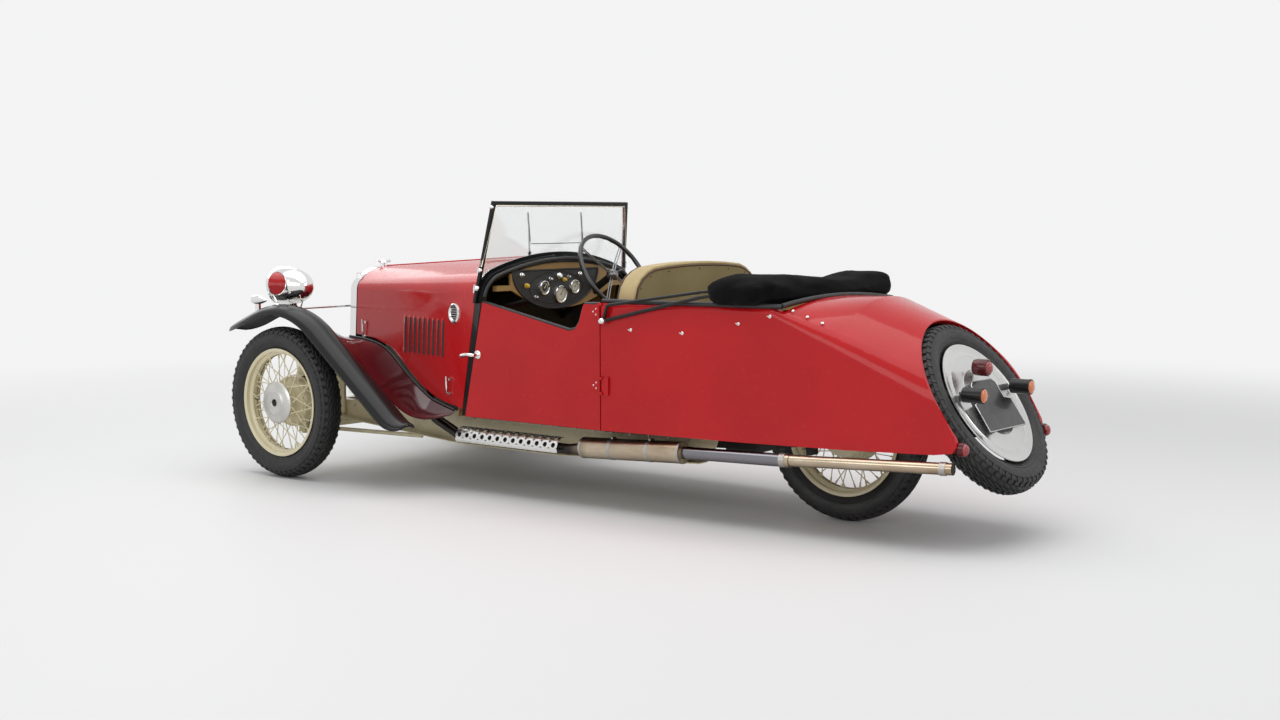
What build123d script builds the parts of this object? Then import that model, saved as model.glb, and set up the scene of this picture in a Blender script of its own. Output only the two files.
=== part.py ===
from build123d import *
from math import acos, atan2, cos, degrees, hypot, radians, sin, sqrt
import os

# An open four-seat three-wheeled tourer of the 1930s: two steered front wheels, one rear wheel.
# Millimetres. +X is forwards, +Y is the car's left, +Z is up, and the ground is Z = 0.
# A station is a distance behind the front axle; back(station) is its X in this frame.
os.makedirs("parts", exist_ok=True)

# --- driving dimensions -------------------------------------------------------------------
front_axle_x = 1445.0          # centres the whole car on the origin
wheelbase = 2515.0
track = 1270.0

tyre_radius = 335.0
tyre_width = 112.0
tyre_bead_radius = 229.0
rim_flange_radius = 240.0
rim_well_radius = 212.0
rim_width = 84.0
spoke_radius = 2.4
spokes_per_side = 20
hub_radius = 46.0
axle_radius = 14.0
running_clearance = 0.05
drum_radius = 112.0
drum_depth = 42.0
hub_cover_radius = 94.0
hub_cover_face = 65.0          # from the wheel's centre plane

kingpin_y = track / 2 - 105.0
kingpin_radius = 13.0
lock_angle = 25.0
sleeve_bottom, sleeve_top = 275.0, 395.0
cross_tube_radius = 19.0
lower_tube_z = 215.0
upper_tube_z = 470.0

body_half_width = 470.0        # at the doors
body_bottom_z = 325.0
panel_wall = 24.0              # steel skin on its ash frame and trim
bonnet_skin = 3.0
panel_gap = 5.0

rail_web_y = 310.0
rail_flange = 58.0
rail_sheet = 4.0
rail_height = 100.0

spare_station = wheelbase + 536.0
spare_z = 464.0
spare_tilt = 33.5              # the spare's axis, above level, pointing back and up


def back(station):
    return front_axle_x - station


def station_plane(station):
    # Local x runs to the car's left, local y runs up, and the normal points forwards.
    return Plane(origin=(back(station), 0, 0), x_dir=(0, 1, 0), z_dir=(1, 0, 0))


def side_plane(y):
    # Local x runs forwards, local y runs up, and the normal points to the car's right.
    return Plane(origin=(0, y, 0), x_dir=(1, 0, 0), z_dir=(0, -1, 0))


def finish(piece, name):
    piece.label = name
    export_step(piece, f"parts/{name}.step")


def finish_pair(piece, name):
    # The piece is the car's left one, and the right one is its mirror image.
    finish(piece, f"{name}_left")
    finish(piece.mirror(Plane.XZ), f"{name}_right")


def rod(start, end, radius):
    start, end = Vector(start), Vector(end)
    with BuildPart() as bar:
        with BuildSketch(Plane(origin=start, z_dir=end - start)):
            Circle(radius)
        extrude(amount=(end - start).length)
    return bar.part


# --- body envelope ------------------------------------------------------------------------
# One hull section: straight sides, a shoulder arc and a crown arc that is tangent to it.
# Columns: station, half width below, half width at the shoulder, shoulder Z, shoulder radius,
# crown Z. Stations behind the doors follow the rear wheel.
BONNET_SECTIONS = [
    (-22.0, 214.0, 186.0, 812.0, 62.0, 921.0),
    (1085.0, body_half_width + 31, body_half_width + 8, 825.0, 105.0, 988.0),
]
TUB_SECTIONS = [
    (940.0, body_half_width, body_half_width, 860.0, 40.0, 960.0),
    (1690.0, body_half_width, body_half_width, 800.0, 30.0, 860.0),
    (wheelbase - 85, body_half_width - 65, body_half_width - 65, 795.0, 30.0, 850.0),
    (wheelbase + 175, body_half_width - 87, body_half_width - 87, 676.0, 78.0, 855.0),
    (wheelbase + 645, body_half_width - 129, body_half_width - 129, 453.0, 148.0, 676.0),
]
# The open cockpit's void, which keeps the side walls straight up to the rail.
COCKPIT_SECTIONS = [
    (1600.0, body_half_width + 8, body_half_width + 8, 900.0, 40.0, 980.0),
    (wheelbase - 85, body_half_width - 65, body_half_width - 65, 900.0, 40.0, 980.0),
    (wheelbase - 37, body_half_width - 69, body_half_width - 69, 900.0, 40.0, 980.0),
]


hull_bottom = 280.0


def hull_section(row, inset, bottom):
    station, low_half, high_half, shoulder_z, radius, crown = row
    low_half, high_half = low_half - inset, high_half - inset
    radius, crown = radius - inset, crown - inset
    reach, rise = high_half - radius, crown - shoulder_z
    crown_radius = (reach**2 + rise**2 - radius**2) / (2 * (rise - radius))
    crown_centre = crown - crown_radius
    angle = atan2(shoulder_z - crown_centre, reach)
    joint_y, joint_z = reach + radius * cos(angle), shoulder_z + radius * sin(angle)
    mid_y, mid_z = reach + radius * cos(angle / 2), shoulder_z + radius * sin(angle / 2)
    with BuildSketch(station_plane(station)) as section:
        with BuildLine():
            Line((-low_half, bottom), (low_half, bottom))
            Line((low_half, bottom), (high_half, shoulder_z))
            ThreePointArc((high_half, shoulder_z), (mid_y, mid_z), (joint_y, joint_z))
            ThreePointArc((joint_y, joint_z), (0, crown), (-joint_y, joint_z))
            ThreePointArc((-joint_y, joint_z), (-mid_y, mid_z), (-high_half, shoulder_z))
            Line((-high_half, shoulder_z), (-low_half, bottom))
        make_face()
    return section.sketch


def hull(rows, inset, bottom):
    with BuildPart() as solid:
        for row in rows:
            add(hull_section(row, inset, bottom))
        loft(ruled=True)
    return solid.part


def side_cut(points, half_width=700.0):
    # A prism through the car whose side view is the outline of (station, Z) points.
    with BuildPart() as prism:
        with BuildSketch(side_plane(half_width)):
            with BuildLine():
                Polyline([(back(s), z) for s, z in points], close=True)
            make_face()
        extrude(amount=2 * half_width)
    return prism.part


def half_space(left, length=5000.0, y0=0.0):
    side = 1 if left else -1
    with BuildPart(Plane.XY) as block:
        with Locations((0, side * (y0 + 500), 500)):
            Box(length, 1000, 1400)
    return block.part


# The door pillar's line leans back as it rises.
LEAN_FOOT_STATION, LEAN_FOOT_Z, LEAN = 935.0, 315.0, 0.22


def lean(z, offset=0.0):
    return LEAN_FOOT_STATION + LEAN * (z - LEAN_FOOT_Z) + offset


strip_half = 13.0
bonnet_foot_station, bonnet_lean = 918.0, 0.183
hoop_gap = 4.0
top_z = 1050.0


def bonnet_rear(z, offset=0.0):
    return bonnet_foot_station + bonnet_lean * (z - LEAN_FOOT_Z) + offset


def bonnet_half(station, z):
    # Half width of the bonnet's flat side at a station and a height.
    (s0, low0, high0, rise0, _, _), (s1, low1, high1, rise1, _, _) = BONNET_SECTIONS
    share = (station - s0) / (s1 - s0)
    low, high, shoulder = low0 + (low1 - low0) * share, high0 + (high1 - high0) * share, rise0 + (rise1 - rise0) * share
    return low + (high - low) * (z - hull_bottom) / (shoulder - hull_bottom)


# --- wing and valance sizes -----------------------------------------------------------------
wing_crown_radius = 433.0
wing_skin = 3.0
wing_y, wing_half_width, wing_rise = track / 2 - 3, 72.0, 27.0
valance_y, valance_skin = wing_y - wing_half_width - 0.3, 2.5
# Columns: station, wing-side Z, clearance from the bonnet's side, bonnet-side Z.
VALANCE = [
    (-30, 722, 30.9, 600), (150, 700, 25.3, 592), (308, 600, 22.4, 562), (502, 448, 14.5, 456),
    (678, 316, 13.1, 380), (800, 282, 8.3, 356),
]

# --- bonnet -------------------------------------------------------------------------------
# The lower edge sweeps down over the wing valance. Columns: station, Z.
BONNET_EDGE = [
    (-22, 612), (150, 604), (308, 574), (410, 522), (502, 468), (590, 424), (678, 392), (780, 370), (890, 358),
]
bonnet_front_station = -18.0
bonnet_split = 1.5

bonnet_outline = BONNET_EDGE + [
    (bonnet_rear(350), 350), (bonnet_rear(top_z), top_z), (bonnet_front_station, top_z), (bonnet_front_station, 612),
]
with BuildPart() as bonnet_shell:
    add(hull(BONNET_SECTIONS, 0, hull_bottom))
    add(hull(BONNET_SECTIONS, bonnet_skin, 270), mode=Mode.SUBTRACT)
    add(side_cut(bonnet_outline[1:]), mode=Mode.INTERSECT)
for name, left in (("bonnet_left", True), ("bonnet_right", False)):
    with BuildPart() as bonnet:
        add(bonnet_shell.part)
        add(half_space(left, y0=bonnet_split), mode=Mode.INTERSECT)
    finish(bonnet.part, name)

# --- scuttle: the black door-post hoop that carries the cowl rim, dash and screen ----------
hoop_wall = 30.0
hoop_outline = [
    (bonnet_rear(body_bottom_z, hoop_gap), body_bottom_z), (lean(body_bottom_z, strip_half), body_bottom_z),
    (lean(top_z, strip_half), top_z), (bonnet_rear(top_z, hoop_gap), top_z),
]
with BuildPart() as scuttle:
    add(hull(BONNET_SECTIONS, 0, hull_bottom))
    add(hull(BONNET_SECTIONS, hoop_wall, 270), mode=Mode.SUBTRACT)
    add(side_cut(hoop_outline), mode=Mode.INTERSECT)
finish(scuttle.part, "scuttle")

# --- doors --------------------------------------------------------------------------------
door_rear_station = 1687.0
door_top_z = 812.0
door_outline = [
    (lean(body_bottom_z, strip_half + panel_gap), body_bottom_z),
    (lean(802, strip_half + panel_gap), 802),
    (1530, 704), (1560, 712), (1582, 740), (1596, 785), (1606, door_top_z),
    (door_rear_station, door_top_z), (door_rear_station, body_bottom_z),
]
hinge_station = 1690.0
hinge_y = body_half_width + 9.0
hinge_radius = 6.0
hinge_leaf = 34.0
hinge_half, hinge_lug = 35.0, 11.6
HINGE_Z = (500.0, 785.0)
for name, left in (("door_left", True), ("door_right", False)):
    side = 1 if left else -1
    with BuildPart() as door:
        add(hull(TUB_SECTIONS, 0, hull_bottom))
        add(hull(TUB_SECTIONS, panel_wall, 270), mode=Mode.SUBTRACT)
        add(side_cut(door_outline), mode=Mode.INTERSECT)
        with Locations((back(door_rear_station - 400), 0, door_top_z + 80)):
            Box(900, 2 * (body_half_width - panel_wall), 240, mode=Mode.SUBTRACT)
        add(half_space(left, y0=200), mode=Mode.INTERSECT)
        for z in HINGE_Z:
            with Locations((back(hinge_station), side * hinge_y, z)):
                Cylinder(hinge_radius, 46)
            with Locations((back(hinge_station - hinge_leaf / 2), side * (body_half_width + 3), z)):
                Box(hinge_leaf, 7, 40)
    finish(door.part, name)

handle_station, handle_z = 985.0, 585.0
for name, side in (("door_handle_left", 1), ("door_handle_right", -1)):
    with BuildPart() as handle:
        with Locations((back(handle_station + 45), side * (body_half_width + 15), handle_z)):
            Cylinder(9, 30, rotation=(90, 0, 0))
        with Locations((back(handle_station + 20), side * (body_half_width + 34), handle_z - 4)):
            Box(90, 12, 16)
    finish(handle.part, name)

# The spare wheel's axis leans up as it points back.
spare_axis = (-cos(radians(spare_tilt)), 0, sin(radians(spare_tilt)))
spare_plane = Plane(origin=(back(spare_station), 0, spare_z), x_dir=(0, -1, 0), z_dir=spare_axis)
recess_gap = 6.0
tail_panel_out = -64.0

# --- tub: cockpit sides, rear deck and tail -----------------------------------------------
tub_front = 1692.0
deck_station = wheelbase - 37.0
rail_z = 823.0
TAIL_OUTLINE = [
    (tub_front, body_bottom_z), (wheelbase - 207, 325), (wheelbase + 221, 330), (wheelbase + 547, 339),
    (wheelbase + 613, 348), (wheelbase + 631, 372), (wheelbase + 623, 402), (wheelbase + 572, 488),
    (wheelbase + 389, 765), (wheelbase + 299, 901), (wheelbase + 235, 980), (tub_front, 980),
]
cockpit_outline = [(1600, rail_z), (deck_station, rail_z), (deck_station, 1000), (1600, 1000)]
with BuildPart() as body_tub:
    add(hull(TUB_SECTIONS, 0, hull_bottom))
    add(hull(TUB_SECTIONS, panel_wall, 270), mode=Mode.SUBTRACT)
    add(side_cut(TAIL_OUTLINE), mode=Mode.INTERSECT)
    add(side_cut(cockpit_outline), mode=Mode.SUBTRACT)
    add(hull(COCKPIT_SECTIONS, panel_wall, 270), mode=Mode.SUBTRACT)
    with BuildSketch(spare_plane.offset(tail_panel_out)):
        Circle(tyre_radius + recess_gap)
    extrude(amount=260, mode=Mode.SUBTRACT)
    for side in (1, -1):
        for z in HINGE_Z:
            with Locations((back(hinge_station + 8 + hinge_leaf / 2), side * (body_half_width + 2), z)):
                Box(hinge_leaf, 7, 2 * hinge_half)
            for end in (1, -1):
                with Locations((back(hinge_station + 5), side * hinge_y, z + end * (hinge_half - hinge_lug / 2))):
                    Box(22, 7, hinge_lug)
finish(body_tub.part, "body_tub")

# --- spare wheel, let into the tail ---------------------------------------------------------
def tyre_ring(plane):
    # Tread, two shoulders and two sidewalls down to the beads.
    half, bead_half = tyre_width / 2, rim_width / 2 - 12
    widest = tyre_radius - 54
    with BuildPart() as tyre:
        with BuildSketch(Plane(plane.origin, x_dir=plane.x_dir, z_dir=-plane.y_dir)):
            with BuildLine():
                ThreePointArc((tyre_radius - 13, half - 12), (tyre_radius, 0), (tyre_radius - 13, -half + 12))
                ThreePointArc((tyre_radius - 13, -half + 12), (widest, -half), (tyre_bead_radius + 11, -bead_half - 4))
                Line((tyre_bead_radius + 11, -bead_half - 4), (tyre_bead_radius, -bead_half + 4))
                Line((tyre_bead_radius, -bead_half + 4), (tyre_bead_radius, bead_half - 4))
                Line((tyre_bead_radius, bead_half - 4), (tyre_bead_radius + 11, bead_half + 4))
                ThreePointArc((tyre_bead_radius + 11, bead_half + 4), (widest, half), (tyre_radius - 13, half - 12))
            make_face()
        revolve(axis=Axis(plane.origin, plane.z_dir))
    return tyre.part


finish(tyre_ring(spare_plane), "spare_tyre")

spare_cover_radius = 238.0
with BuildPart() as spare_cover:
    with BuildSketch(Plane(spare_plane.origin, x_dir=spare_plane.x_dir, z_dir=-spare_plane.y_dir)):
        with BuildLine():
            Polyline(
                [(0, 52), (150, 48), (200, 43), (226, 48), (spare_cover_radius, 48), (spare_cover_radius, 45),
                 (226, 45), (200, 40), (150, 45), (0, 49)], close=True)
        make_face()
    revolve(axis=Axis(spare_plane.origin, spare_plane.z_dir))
finish(spare_cover.part, "spare_cover")

with BuildPart() as tail_panel:
    with BuildSketch(spare_plane.offset(tail_panel_out - 3)):
        Rectangle(900, 900)
    extrude(amount=3)
    add(hull(TUB_SECTIONS, panel_wall + 0.3, 360), mode=Mode.INTERSECT)
with BuildPart() as spare_carrier:
    with BuildSketch(spare_plane.offset(tail_panel_out)):
        Circle(60)
    extrude(amount=14)
    with BuildSketch(spare_plane.offset(tail_panel_out)):
        Circle(26)
    extrude(amount=48 - tail_panel_out)
    with BuildSketch(spare_plane.offset(-8)):
        Circle(tyre_bead_radius - 0.3)
        Circle(tyre_bead_radius - 12, mode=Mode.SUBTRACT)
    extrude(amount=24)
    with BuildSketch(spare_plane.offset(-2)):
        for turn in range(4):
            with Locations(Rot(0, 0, 90 * turn) * Pos(tyre_bead_radius / 2, 0)):
                Rectangle(tyre_bead_radius - 20, 26)
    extrude(amount=8)
    add(tail_panel.part)
finish(spare_carrier.part, "spare_carrier")

# --- rear plate and lamps -------------------------------------------------------------------
plate_out = 62.0
with BuildPart() as number_plate:
    with BuildSketch(spare_plane.offset(plate_out)):
        with Locations((0, -62)):
            Rectangle(280, 110)
        with Locations((0, 30)):
            Rectangle(190, 100)
        with Locations((0, 40)):
            Rectangle(376, 26)
    extrude(amount=4)
    with BuildSketch(spare_plane.offset(52.2)):
        Circle(40)
    extrude(amount=plate_out - 52.2)
finish(number_plate.part, "number_plate")

back_plane_dir = dict(x_dir=(0, -1, 0), z_dir=(-1, 0, 0))
amber_station, amber_y, amber_z, amber_length = spare_station + 122, 187.0, 533.0, 81.2
with BuildPart() as lamp_housings:
    for side in (1, -1):
        with BuildSketch(Plane(origin=(back(amber_station - amber_length), side * amber_y, amber_z), **back_plane_dir)):
            Circle(27)
        extrude(amount=amber_length - 8)
finish(lamp_housings.part, "lamp_housings")
with BuildPart() as amber_lenses:
    for side in (1, -1):
        with BuildSketch(Plane(origin=(back(amber_station - 8), side * amber_y, amber_z), **back_plane_dir)):
            Circle(24)
        extrude(amount=10)
finish(amber_lenses.part, "amber_lenses")
tail_lamp_station, tail_lamp_z, tail_lamp_depth = spare_station + 37, 612.0, 55.5
with BuildPart() as red_lamps:
    with BuildSketch(Plane(origin=(back(tail_lamp_station - tail_lamp_depth), 0, tail_lamp_z), **back_plane_dir)):
        Circle(30)
    extrude(amount=tail_lamp_depth)
    with BuildSketch(Plane(origin=(back(tail_lamp_station), 0, tail_lamp_z), **back_plane_dir)):
        Circle(24)
    extrude(amount=16, taper=25)
    for side in (1, -1):
        with Locations((back(wheelbase + 649.3), side * (body_half_width - 148), 362)):
            Box(36, 26, 50)
finish(red_lamps.part, "red_lamps")

# --- wheels ---------------------------------------------------------------------------------
wheel_z = tyre_radius


def wheel_plane(station, y, outward):
    # The plane's normal is the spin axis, pointing to the side that carries the hub cover.
    return Plane(origin=(back(station), y, wheel_z), x_dir=(1, 0, 0), z_dir=(0, outward, 0))


def wire_wheel(plane, inner_flange, outer_flange, drum_end):
    # Rim with its well, two rows of spokes, the hub barrel and the brake drum.
    rim_half = rim_width / 2
    profile = Plane(plane.origin, x_dir=plane.x_dir, z_dir=-plane.y_dir)
    with BuildPart() as wheel:
        with BuildSketch(profile):
            with BuildLine():
                Polyline(
                    [(rim_flange_radius, -rim_half), (rim_flange_radius, -rim_half + 3),
                     (tyre_bead_radius - 0.3, -rim_half + 6), (tyre_bead_radius - 0.3, -16), (rim_well_radius + 3, -9),
                     (rim_well_radius + 3, 9), (tyre_bead_radius - 0.3, 16), (tyre_bead_radius - 0.3, rim_half - 6),
                     (rim_flange_radius, rim_half - 3), (rim_flange_radius, rim_half),
                     (tyre_bead_radius - 4, rim_half), (tyre_bead_radius - 4, 20), (rim_well_radius, 12),
                     (rim_well_radius, -12), (tyre_bead_radius - 4, -20), (tyre_bead_radius - 4, -rim_half)],
                    close=True)
            make_face()
        revolve(axis=Axis(plane.origin, plane.z_dir))
        with BuildSketch(plane.offset(inner_flange)):
            Circle(hub_radius)
        extrude(amount=outer_flange - inner_flange)
        with BuildSketch(plane.offset(drum_end), plane.offset(outer_flange - 4)):
            Circle(drum_radius - 22)
        extrude(amount=4)
        if drum_depth:
            with BuildSketch(plane.offset(drum_end)):
                Circle(drum_radius)
                Circle(drum_radius - 5, mode=Mode.SUBTRACT)
            extrude(amount=-drum_depth)
            with BuildSketch(plane.offset(drum_end - 5)):
                Circle(drum_radius)
            extrude(amount=5)
        for row, (hub_r, hub_out, rim_out) in enumerate(
                ((drum_radius - 24, outer_flange - 2, 6), (drum_radius - 24, drum_end + 2, -6))):
            start = Vector(hub_r, 0, hub_out)
            end = Vector(rim_well_radius + 2, 0, rim_out)
            foot = Plane(plane.from_local_coords(start), z_dir=plane.from_local_coords(end) - plane.from_local_coords(start))
            with BuildPart(mode=Mode.PRIVATE) as spoke:
                with BuildSketch(foot):
                    Circle(spoke_radius)
                extrude(amount=(end - start).length)
            for turn in range(spokes_per_side):
                angle = 360 / spokes_per_side * (turn + row / 2)
                add(spoke.part.rotate(Axis(plane.origin, plane.z_dir), angle))
        with BuildSketch(plane.offset(-120)):
            Circle(axle_radius + running_clearance)
        extrude(amount=240, mode=Mode.SUBTRACT)
    return wheel.part


front_hub_inner, front_hub_outer, front_drum_end = -30.0, 46.0, -24.0
wheel_y = track / 2
front_plane = wheel_plane(0, wheel_y, 1)
finish_pair(tyre_ring(front_plane), "tyre_front")
finish_pair(wire_wheel(front_plane, front_hub_inner, front_hub_outer, front_drum_end), "wheel_front")
with BuildPart() as hub_cover:
    with BuildSketch(front_plane.offset(front_hub_outer + 0.3)):
        Circle(hub_cover_radius)
    extrude(amount=hub_cover_face - front_hub_outer - 6.3, taper=8)
    with BuildSketch(front_plane.offset(hub_cover_face - 6)):
        Circle(hub_cover_radius - 26)
    extrude(amount=6, taper=30)
finish_pair(hub_cover.part, "hub_cover")

# --- knuckles: sleeve on the pillar, stub axle, brake plate and steering arm -----------------
backplate_out = front_drum_end - drum_depth - 6
arm_reach, arm_y, arm_pin_radius = 130.0, kingpin_y, 7.0
with BuildPart() as knuckle:
    with BuildSketch(Plane.XY.offset(sleeve_bottom)):
        with Locations((back(0), kingpin_y)):
            Circle(25)
    extrude(amount=sleeve_top - sleeve_bottom)
    with BuildSketch(front_plane.offset(backplate_out)):
        Circle(drum_radius)
    extrude(amount=-4)
    with BuildSketch(front_plane.offset(front_hub_outer - 2)):
        Circle(axle_radius)
    extrude(amount=-(front_hub_outer - 2 + wheel_y - kingpin_y - 20))
    with BuildSketch(Plane.XY.offset(sleeve_bottom)):
        with BuildLine():
            Polyline(
                [(back(18), kingpin_y), (back(-arm_reach - 8), arm_y + 12), (back(-arm_reach - 8), arm_y - 12),
                 (back(-12), kingpin_y - 24)], close=True)
        make_face()
    extrude(amount=12)
    with BuildSketch(Plane.XY.offset(sleeve_bottom - 34)):
        with Locations((back(-arm_reach), arm_y)):
            Circle(arm_pin_radius)
    extrude(amount=40)
    with BuildSketch(Plane.XY.offset(sleeve_bottom - 10)):
        with Locations((back(0), kingpin_y)):
            Circle(kingpin_radius + running_clearance)
    extrude(amount=sleeve_top - sleeve_bottom + 20, mode=Mode.SUBTRACT)
finish_pair(knuckle.part, "knuckle")

# --- track rod between the two steering arms -------------------------------------------------
rod_eye_z = sleeve_bottom - 32
with BuildPart() as track_rod:
    add(rod((back(-arm_reach), -arm_y + 4, rod_eye_z + 11), (back(-arm_reach), arm_y - 4, rod_eye_z + 11), 8))
    with BuildSketch(Plane.XY.offset(rod_eye_z)):
        with Locations((back(-arm_reach), arm_y), (back(-arm_reach), -arm_y)):
            Circle(16)
    extrude(amount=22)
    with BuildSketch(Plane.XY.offset(rod_eye_z - 5)):
        with Locations((back(-arm_reach), arm_y), (back(-arm_reach), -arm_y)):
            Circle(arm_pin_radius + 0.4)
    extrude(amount=32, mode=Mode.SUBTRACT)
finish(track_rod.part, "track_rod")

# --- rear wheel, its axle, fork and springs --------------------------------------------------
rear_plane = wheel_plane(wheelbase, 0, 1)
finish(tyre_ring(rear_plane), "tyre_rear")
finish(wire_wheel(rear_plane, -46, 46, -30), "wheel_rear")
fork_y, fork_wall = 96.0, 16.0
fork_pivot_station, fork_pivot_z = wheelbase - 469, 292.0
rear_axle_reach = 172.0
with BuildPart() as rear_fork:
    for side in (1, -1):
        with BuildSketch(side_plane(side * fork_y + fork_wall / 2)):
            with BuildLine():
                Polyline(
                    [(back(fork_pivot_station - 30), fork_pivot_z - 30), (back(wheelbase + 34), wheel_z - 22),
                     (back(wheelbase + 34), wheel_z + 22), (back(fork_pivot_station - 30), fork_pivot_z + 34)],
                    close=True)
            make_face()
        extrude(amount=fork_wall)
    with BuildSketch(rear_plane.offset(-rear_axle_reach)):
        Circle(axle_radius)
    extrude(amount=2 * rear_axle_reach)
finish(rear_fork.part, "rear_fork")
spring_y, spring_width = 148.0, 44.0
spring_front, spring_bend = wheelbase - 504.7, wheelbase - 275
with BuildPart() as rear_springs:
    for side in (1, -1):
        with BuildSketch(side_plane(side * spring_y + spring_width / 2)):
            with BuildLine():
                Polyline(
                    [(back(spring_front), 252), (back(spring_bend), 262), (back(wheelbase + 20), wheel_z - 24),
                     (back(wheelbase + 20), wheel_z + 22), (back(wheelbase - 24), wheel_z + 22),
                     (back(wheelbase - 40), wheel_z - 8), (back(spring_bend), 290), (back(spring_front), 292)],
                    close=True)
            make_face()
        extrude(amount=spring_width)
    with BuildSketch(rear_plane.offset(-200)):
        Circle(axle_radius + 0.3)
    extrude(amount=400, mode=Mode.SUBTRACT)
finish(rear_springs.part, "rear_springs")

# --- chassis: Z-section side rails and cross members ------------------------------------------
rail_top_z = 318.0
RAIL_BOTTOM = [(-100, 254), (807, 187), (1378, 187), (wheelbase - 432, 218), (wheelbase - 403, 240)]
rail_front, rail_rear = -100.0, wheelbase - 375
rear_member, member_depth = wheelbase - 530, 50.0
rail_outline = RAIL_BOTTOM + [(rail_rear, rail_top_z), (rail_front, rail_top_z)]
# Columns: station, Z of the tube's centre.
CROSS_TUBES = [(100, 240), (560, 234), (1440, 212)]
with BuildPart() as chassis_frame:
    for side in (1, -1):
        with BuildSketch(side_plane(side * rail_web_y + rail_sheet / 2)):
            with BuildLine():
                Polyline([(back(x), z) for x, z in rail_outline], close=True)
            make_face()
        extrude(amount=rail_sheet)
        for (s0, z0), (s1, z1) in zip(RAIL_BOTTOM[:3], RAIL_BOTTOM[1:4]):
            with BuildSketch(side_plane(side * (rail_web_y + rail_flange / 2) + rail_flange / 2)):
                with BuildLine():
                    Polyline(
                        [(back(s0), z0), (back(s1), z1), (back(s1), z1 + rail_sheet), (back(s0), z0 + rail_sheet)],
                        close=True)
                make_face()
            extrude(amount=rail_flange)
        with Locations((back((rail_front + rail_rear) / 2), side * (rail_web_y - 20), rail_top_z - rail_sheet / 2)):
            Box(rail_rear - rail_front, 40, rail_sheet)
    for station, z in CROSS_TUBES:
        add(rod((back(station), -rail_web_y, z), (back(station), rail_web_y, z), 20))
    with Locations((back(-43), 0, 300)):
        Box(44, 2 * rail_web_y, 36)
    with Locations((back(rear_member), 0, 272)):
        Box(member_depth, 2 * rail_web_y, 40)
finish(chassis_frame.part, "chassis_frame")

# --- front cross tubes, sliding pillars and lugs ----------------------------------------------
wing_stay_y, wing_stay_radius = kingpin_y - 100, 8.0
# The stays stop just under the valances, which slope up to the wings.
(_, high0, clear0, low0), (_, high1, clear1, low1) = VALANCE[:2]
stay_share = (0 - VALANCE[0][0]) / (VALANCE[1][0] - VALANCE[0][0])
valance_low = low0 + (low1 - low0) * stay_share
valance_high = high0 + (high1 - high0) * stay_share
valance_inner = bonnet_half(0, valance_low) + clear0 + (clear1 - clear0) * stay_share
valance_slope = (valance_high - valance_low) / (valance_y - valance_inner)
wing_stay_top = (valance_low + valance_slope * (wing_stay_y - wing_stay_radius - valance_inner)
                 - valance_skin - 0.3)
with BuildPart() as front_axle:
    for z in (lower_tube_z, upper_tube_z):
        add(rod((back(0), -kingpin_y, z), (back(0), kingpin_y, z), cross_tube_radius))
    for side in (1, -1):
        with BuildSketch(Plane.XY.offset(lower_tube_z - 22)):
            with Locations((back(0), side * kingpin_y)):
                Circle(24)
        extrude(amount=44)
        with BuildSketch(Plane.XY.offset(upper_tube_z - 22)):
            with Locations((back(0), side * kingpin_y)):
                Circle(24)
        extrude(amount=44)
        with BuildSketch(Plane.XY.offset(lower_tube_z - 30)):
            with Locations((back(0), side * kingpin_y)):
                Circle(kingpin_radius)
        extrude(amount=upper_tube_z - lower_tube_z + 60)
        with Locations((back(0), side * (rail_web_y + 9), (254.5 + upper_tube_z) / 2)):
            Box(70, 12, upper_tube_z - 254.5)
        with Locations((back(0), side * (rail_web_y + 28), (lower_tube_z + 244) / 2)):
            Box(60, 50, 244 - lower_tube_z)
        add(rod((back(24), side * (kingpin_y - 36), lower_tube_z - 4), (back(560), side * (rail_web_y + 28), 196), 9))
        add(rod((back(0), side * wing_stay_y, upper_tube_z), (back(0), side * wing_stay_y, wing_stay_top),
                wing_stay_radius))
finish(front_axle.part, "front_axle")
with BuildPart() as front_springs:
    for side in (1, -1):
        for low, high in ((sleeve_top + 1, upper_tube_z - 22), (lower_tube_z + 22, sleeve_bottom - 1)):
            with BuildSketch(Plane.XY.offset(low)):
                with Locations((back(0), side * kingpin_y)):
                    Circle(22)
                    Circle(kingpin_radius + 2, mode=Mode.SUBTRACT)
            extrude(amount=high - low)
finish(front_springs.part, "front_springs")

# --- engine, drive line and bevel box ----------------------------------------------------------
engine_front, engine_rear, engine_half_width, engine_bottom, engine_top = 130.0, 640.0, 150.0, 260.0, 690.0
with BuildPart() as engine_block:
    with Locations((back((engine_front + engine_rear) / 2), 0, (engine_bottom + engine_top) / 2)):
        Box(engine_rear - engine_front, 2 * engine_half_width, engine_top - engine_bottom)
finish(engine_block.part, "engine_block")
shaft_z = 276.0
bevel_front, bevel_rear, bevel_half_width = rear_member + member_depth / 2 + 0.3, wheelbase - 365, 87.5
with BuildPart() as drive_line:
    add(rod((back(engine_rear + 0.3), 0, 330), (back(790), 0, 330), 70))
    add(rod((back(760), 0, shaft_z), (back(rear_member - member_depth / 2 - 0.5), 0, shaft_z), 36))
    with BuildSketch(side_plane(bevel_half_width)):
        with Locations((back((bevel_front + bevel_rear) / 2), 300)):
            RectangleRounded(bevel_rear - bevel_front, 150, 20)
    extrude(amount=2 * bevel_half_width)
finish(drive_line.part, "drive_line")

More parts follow.
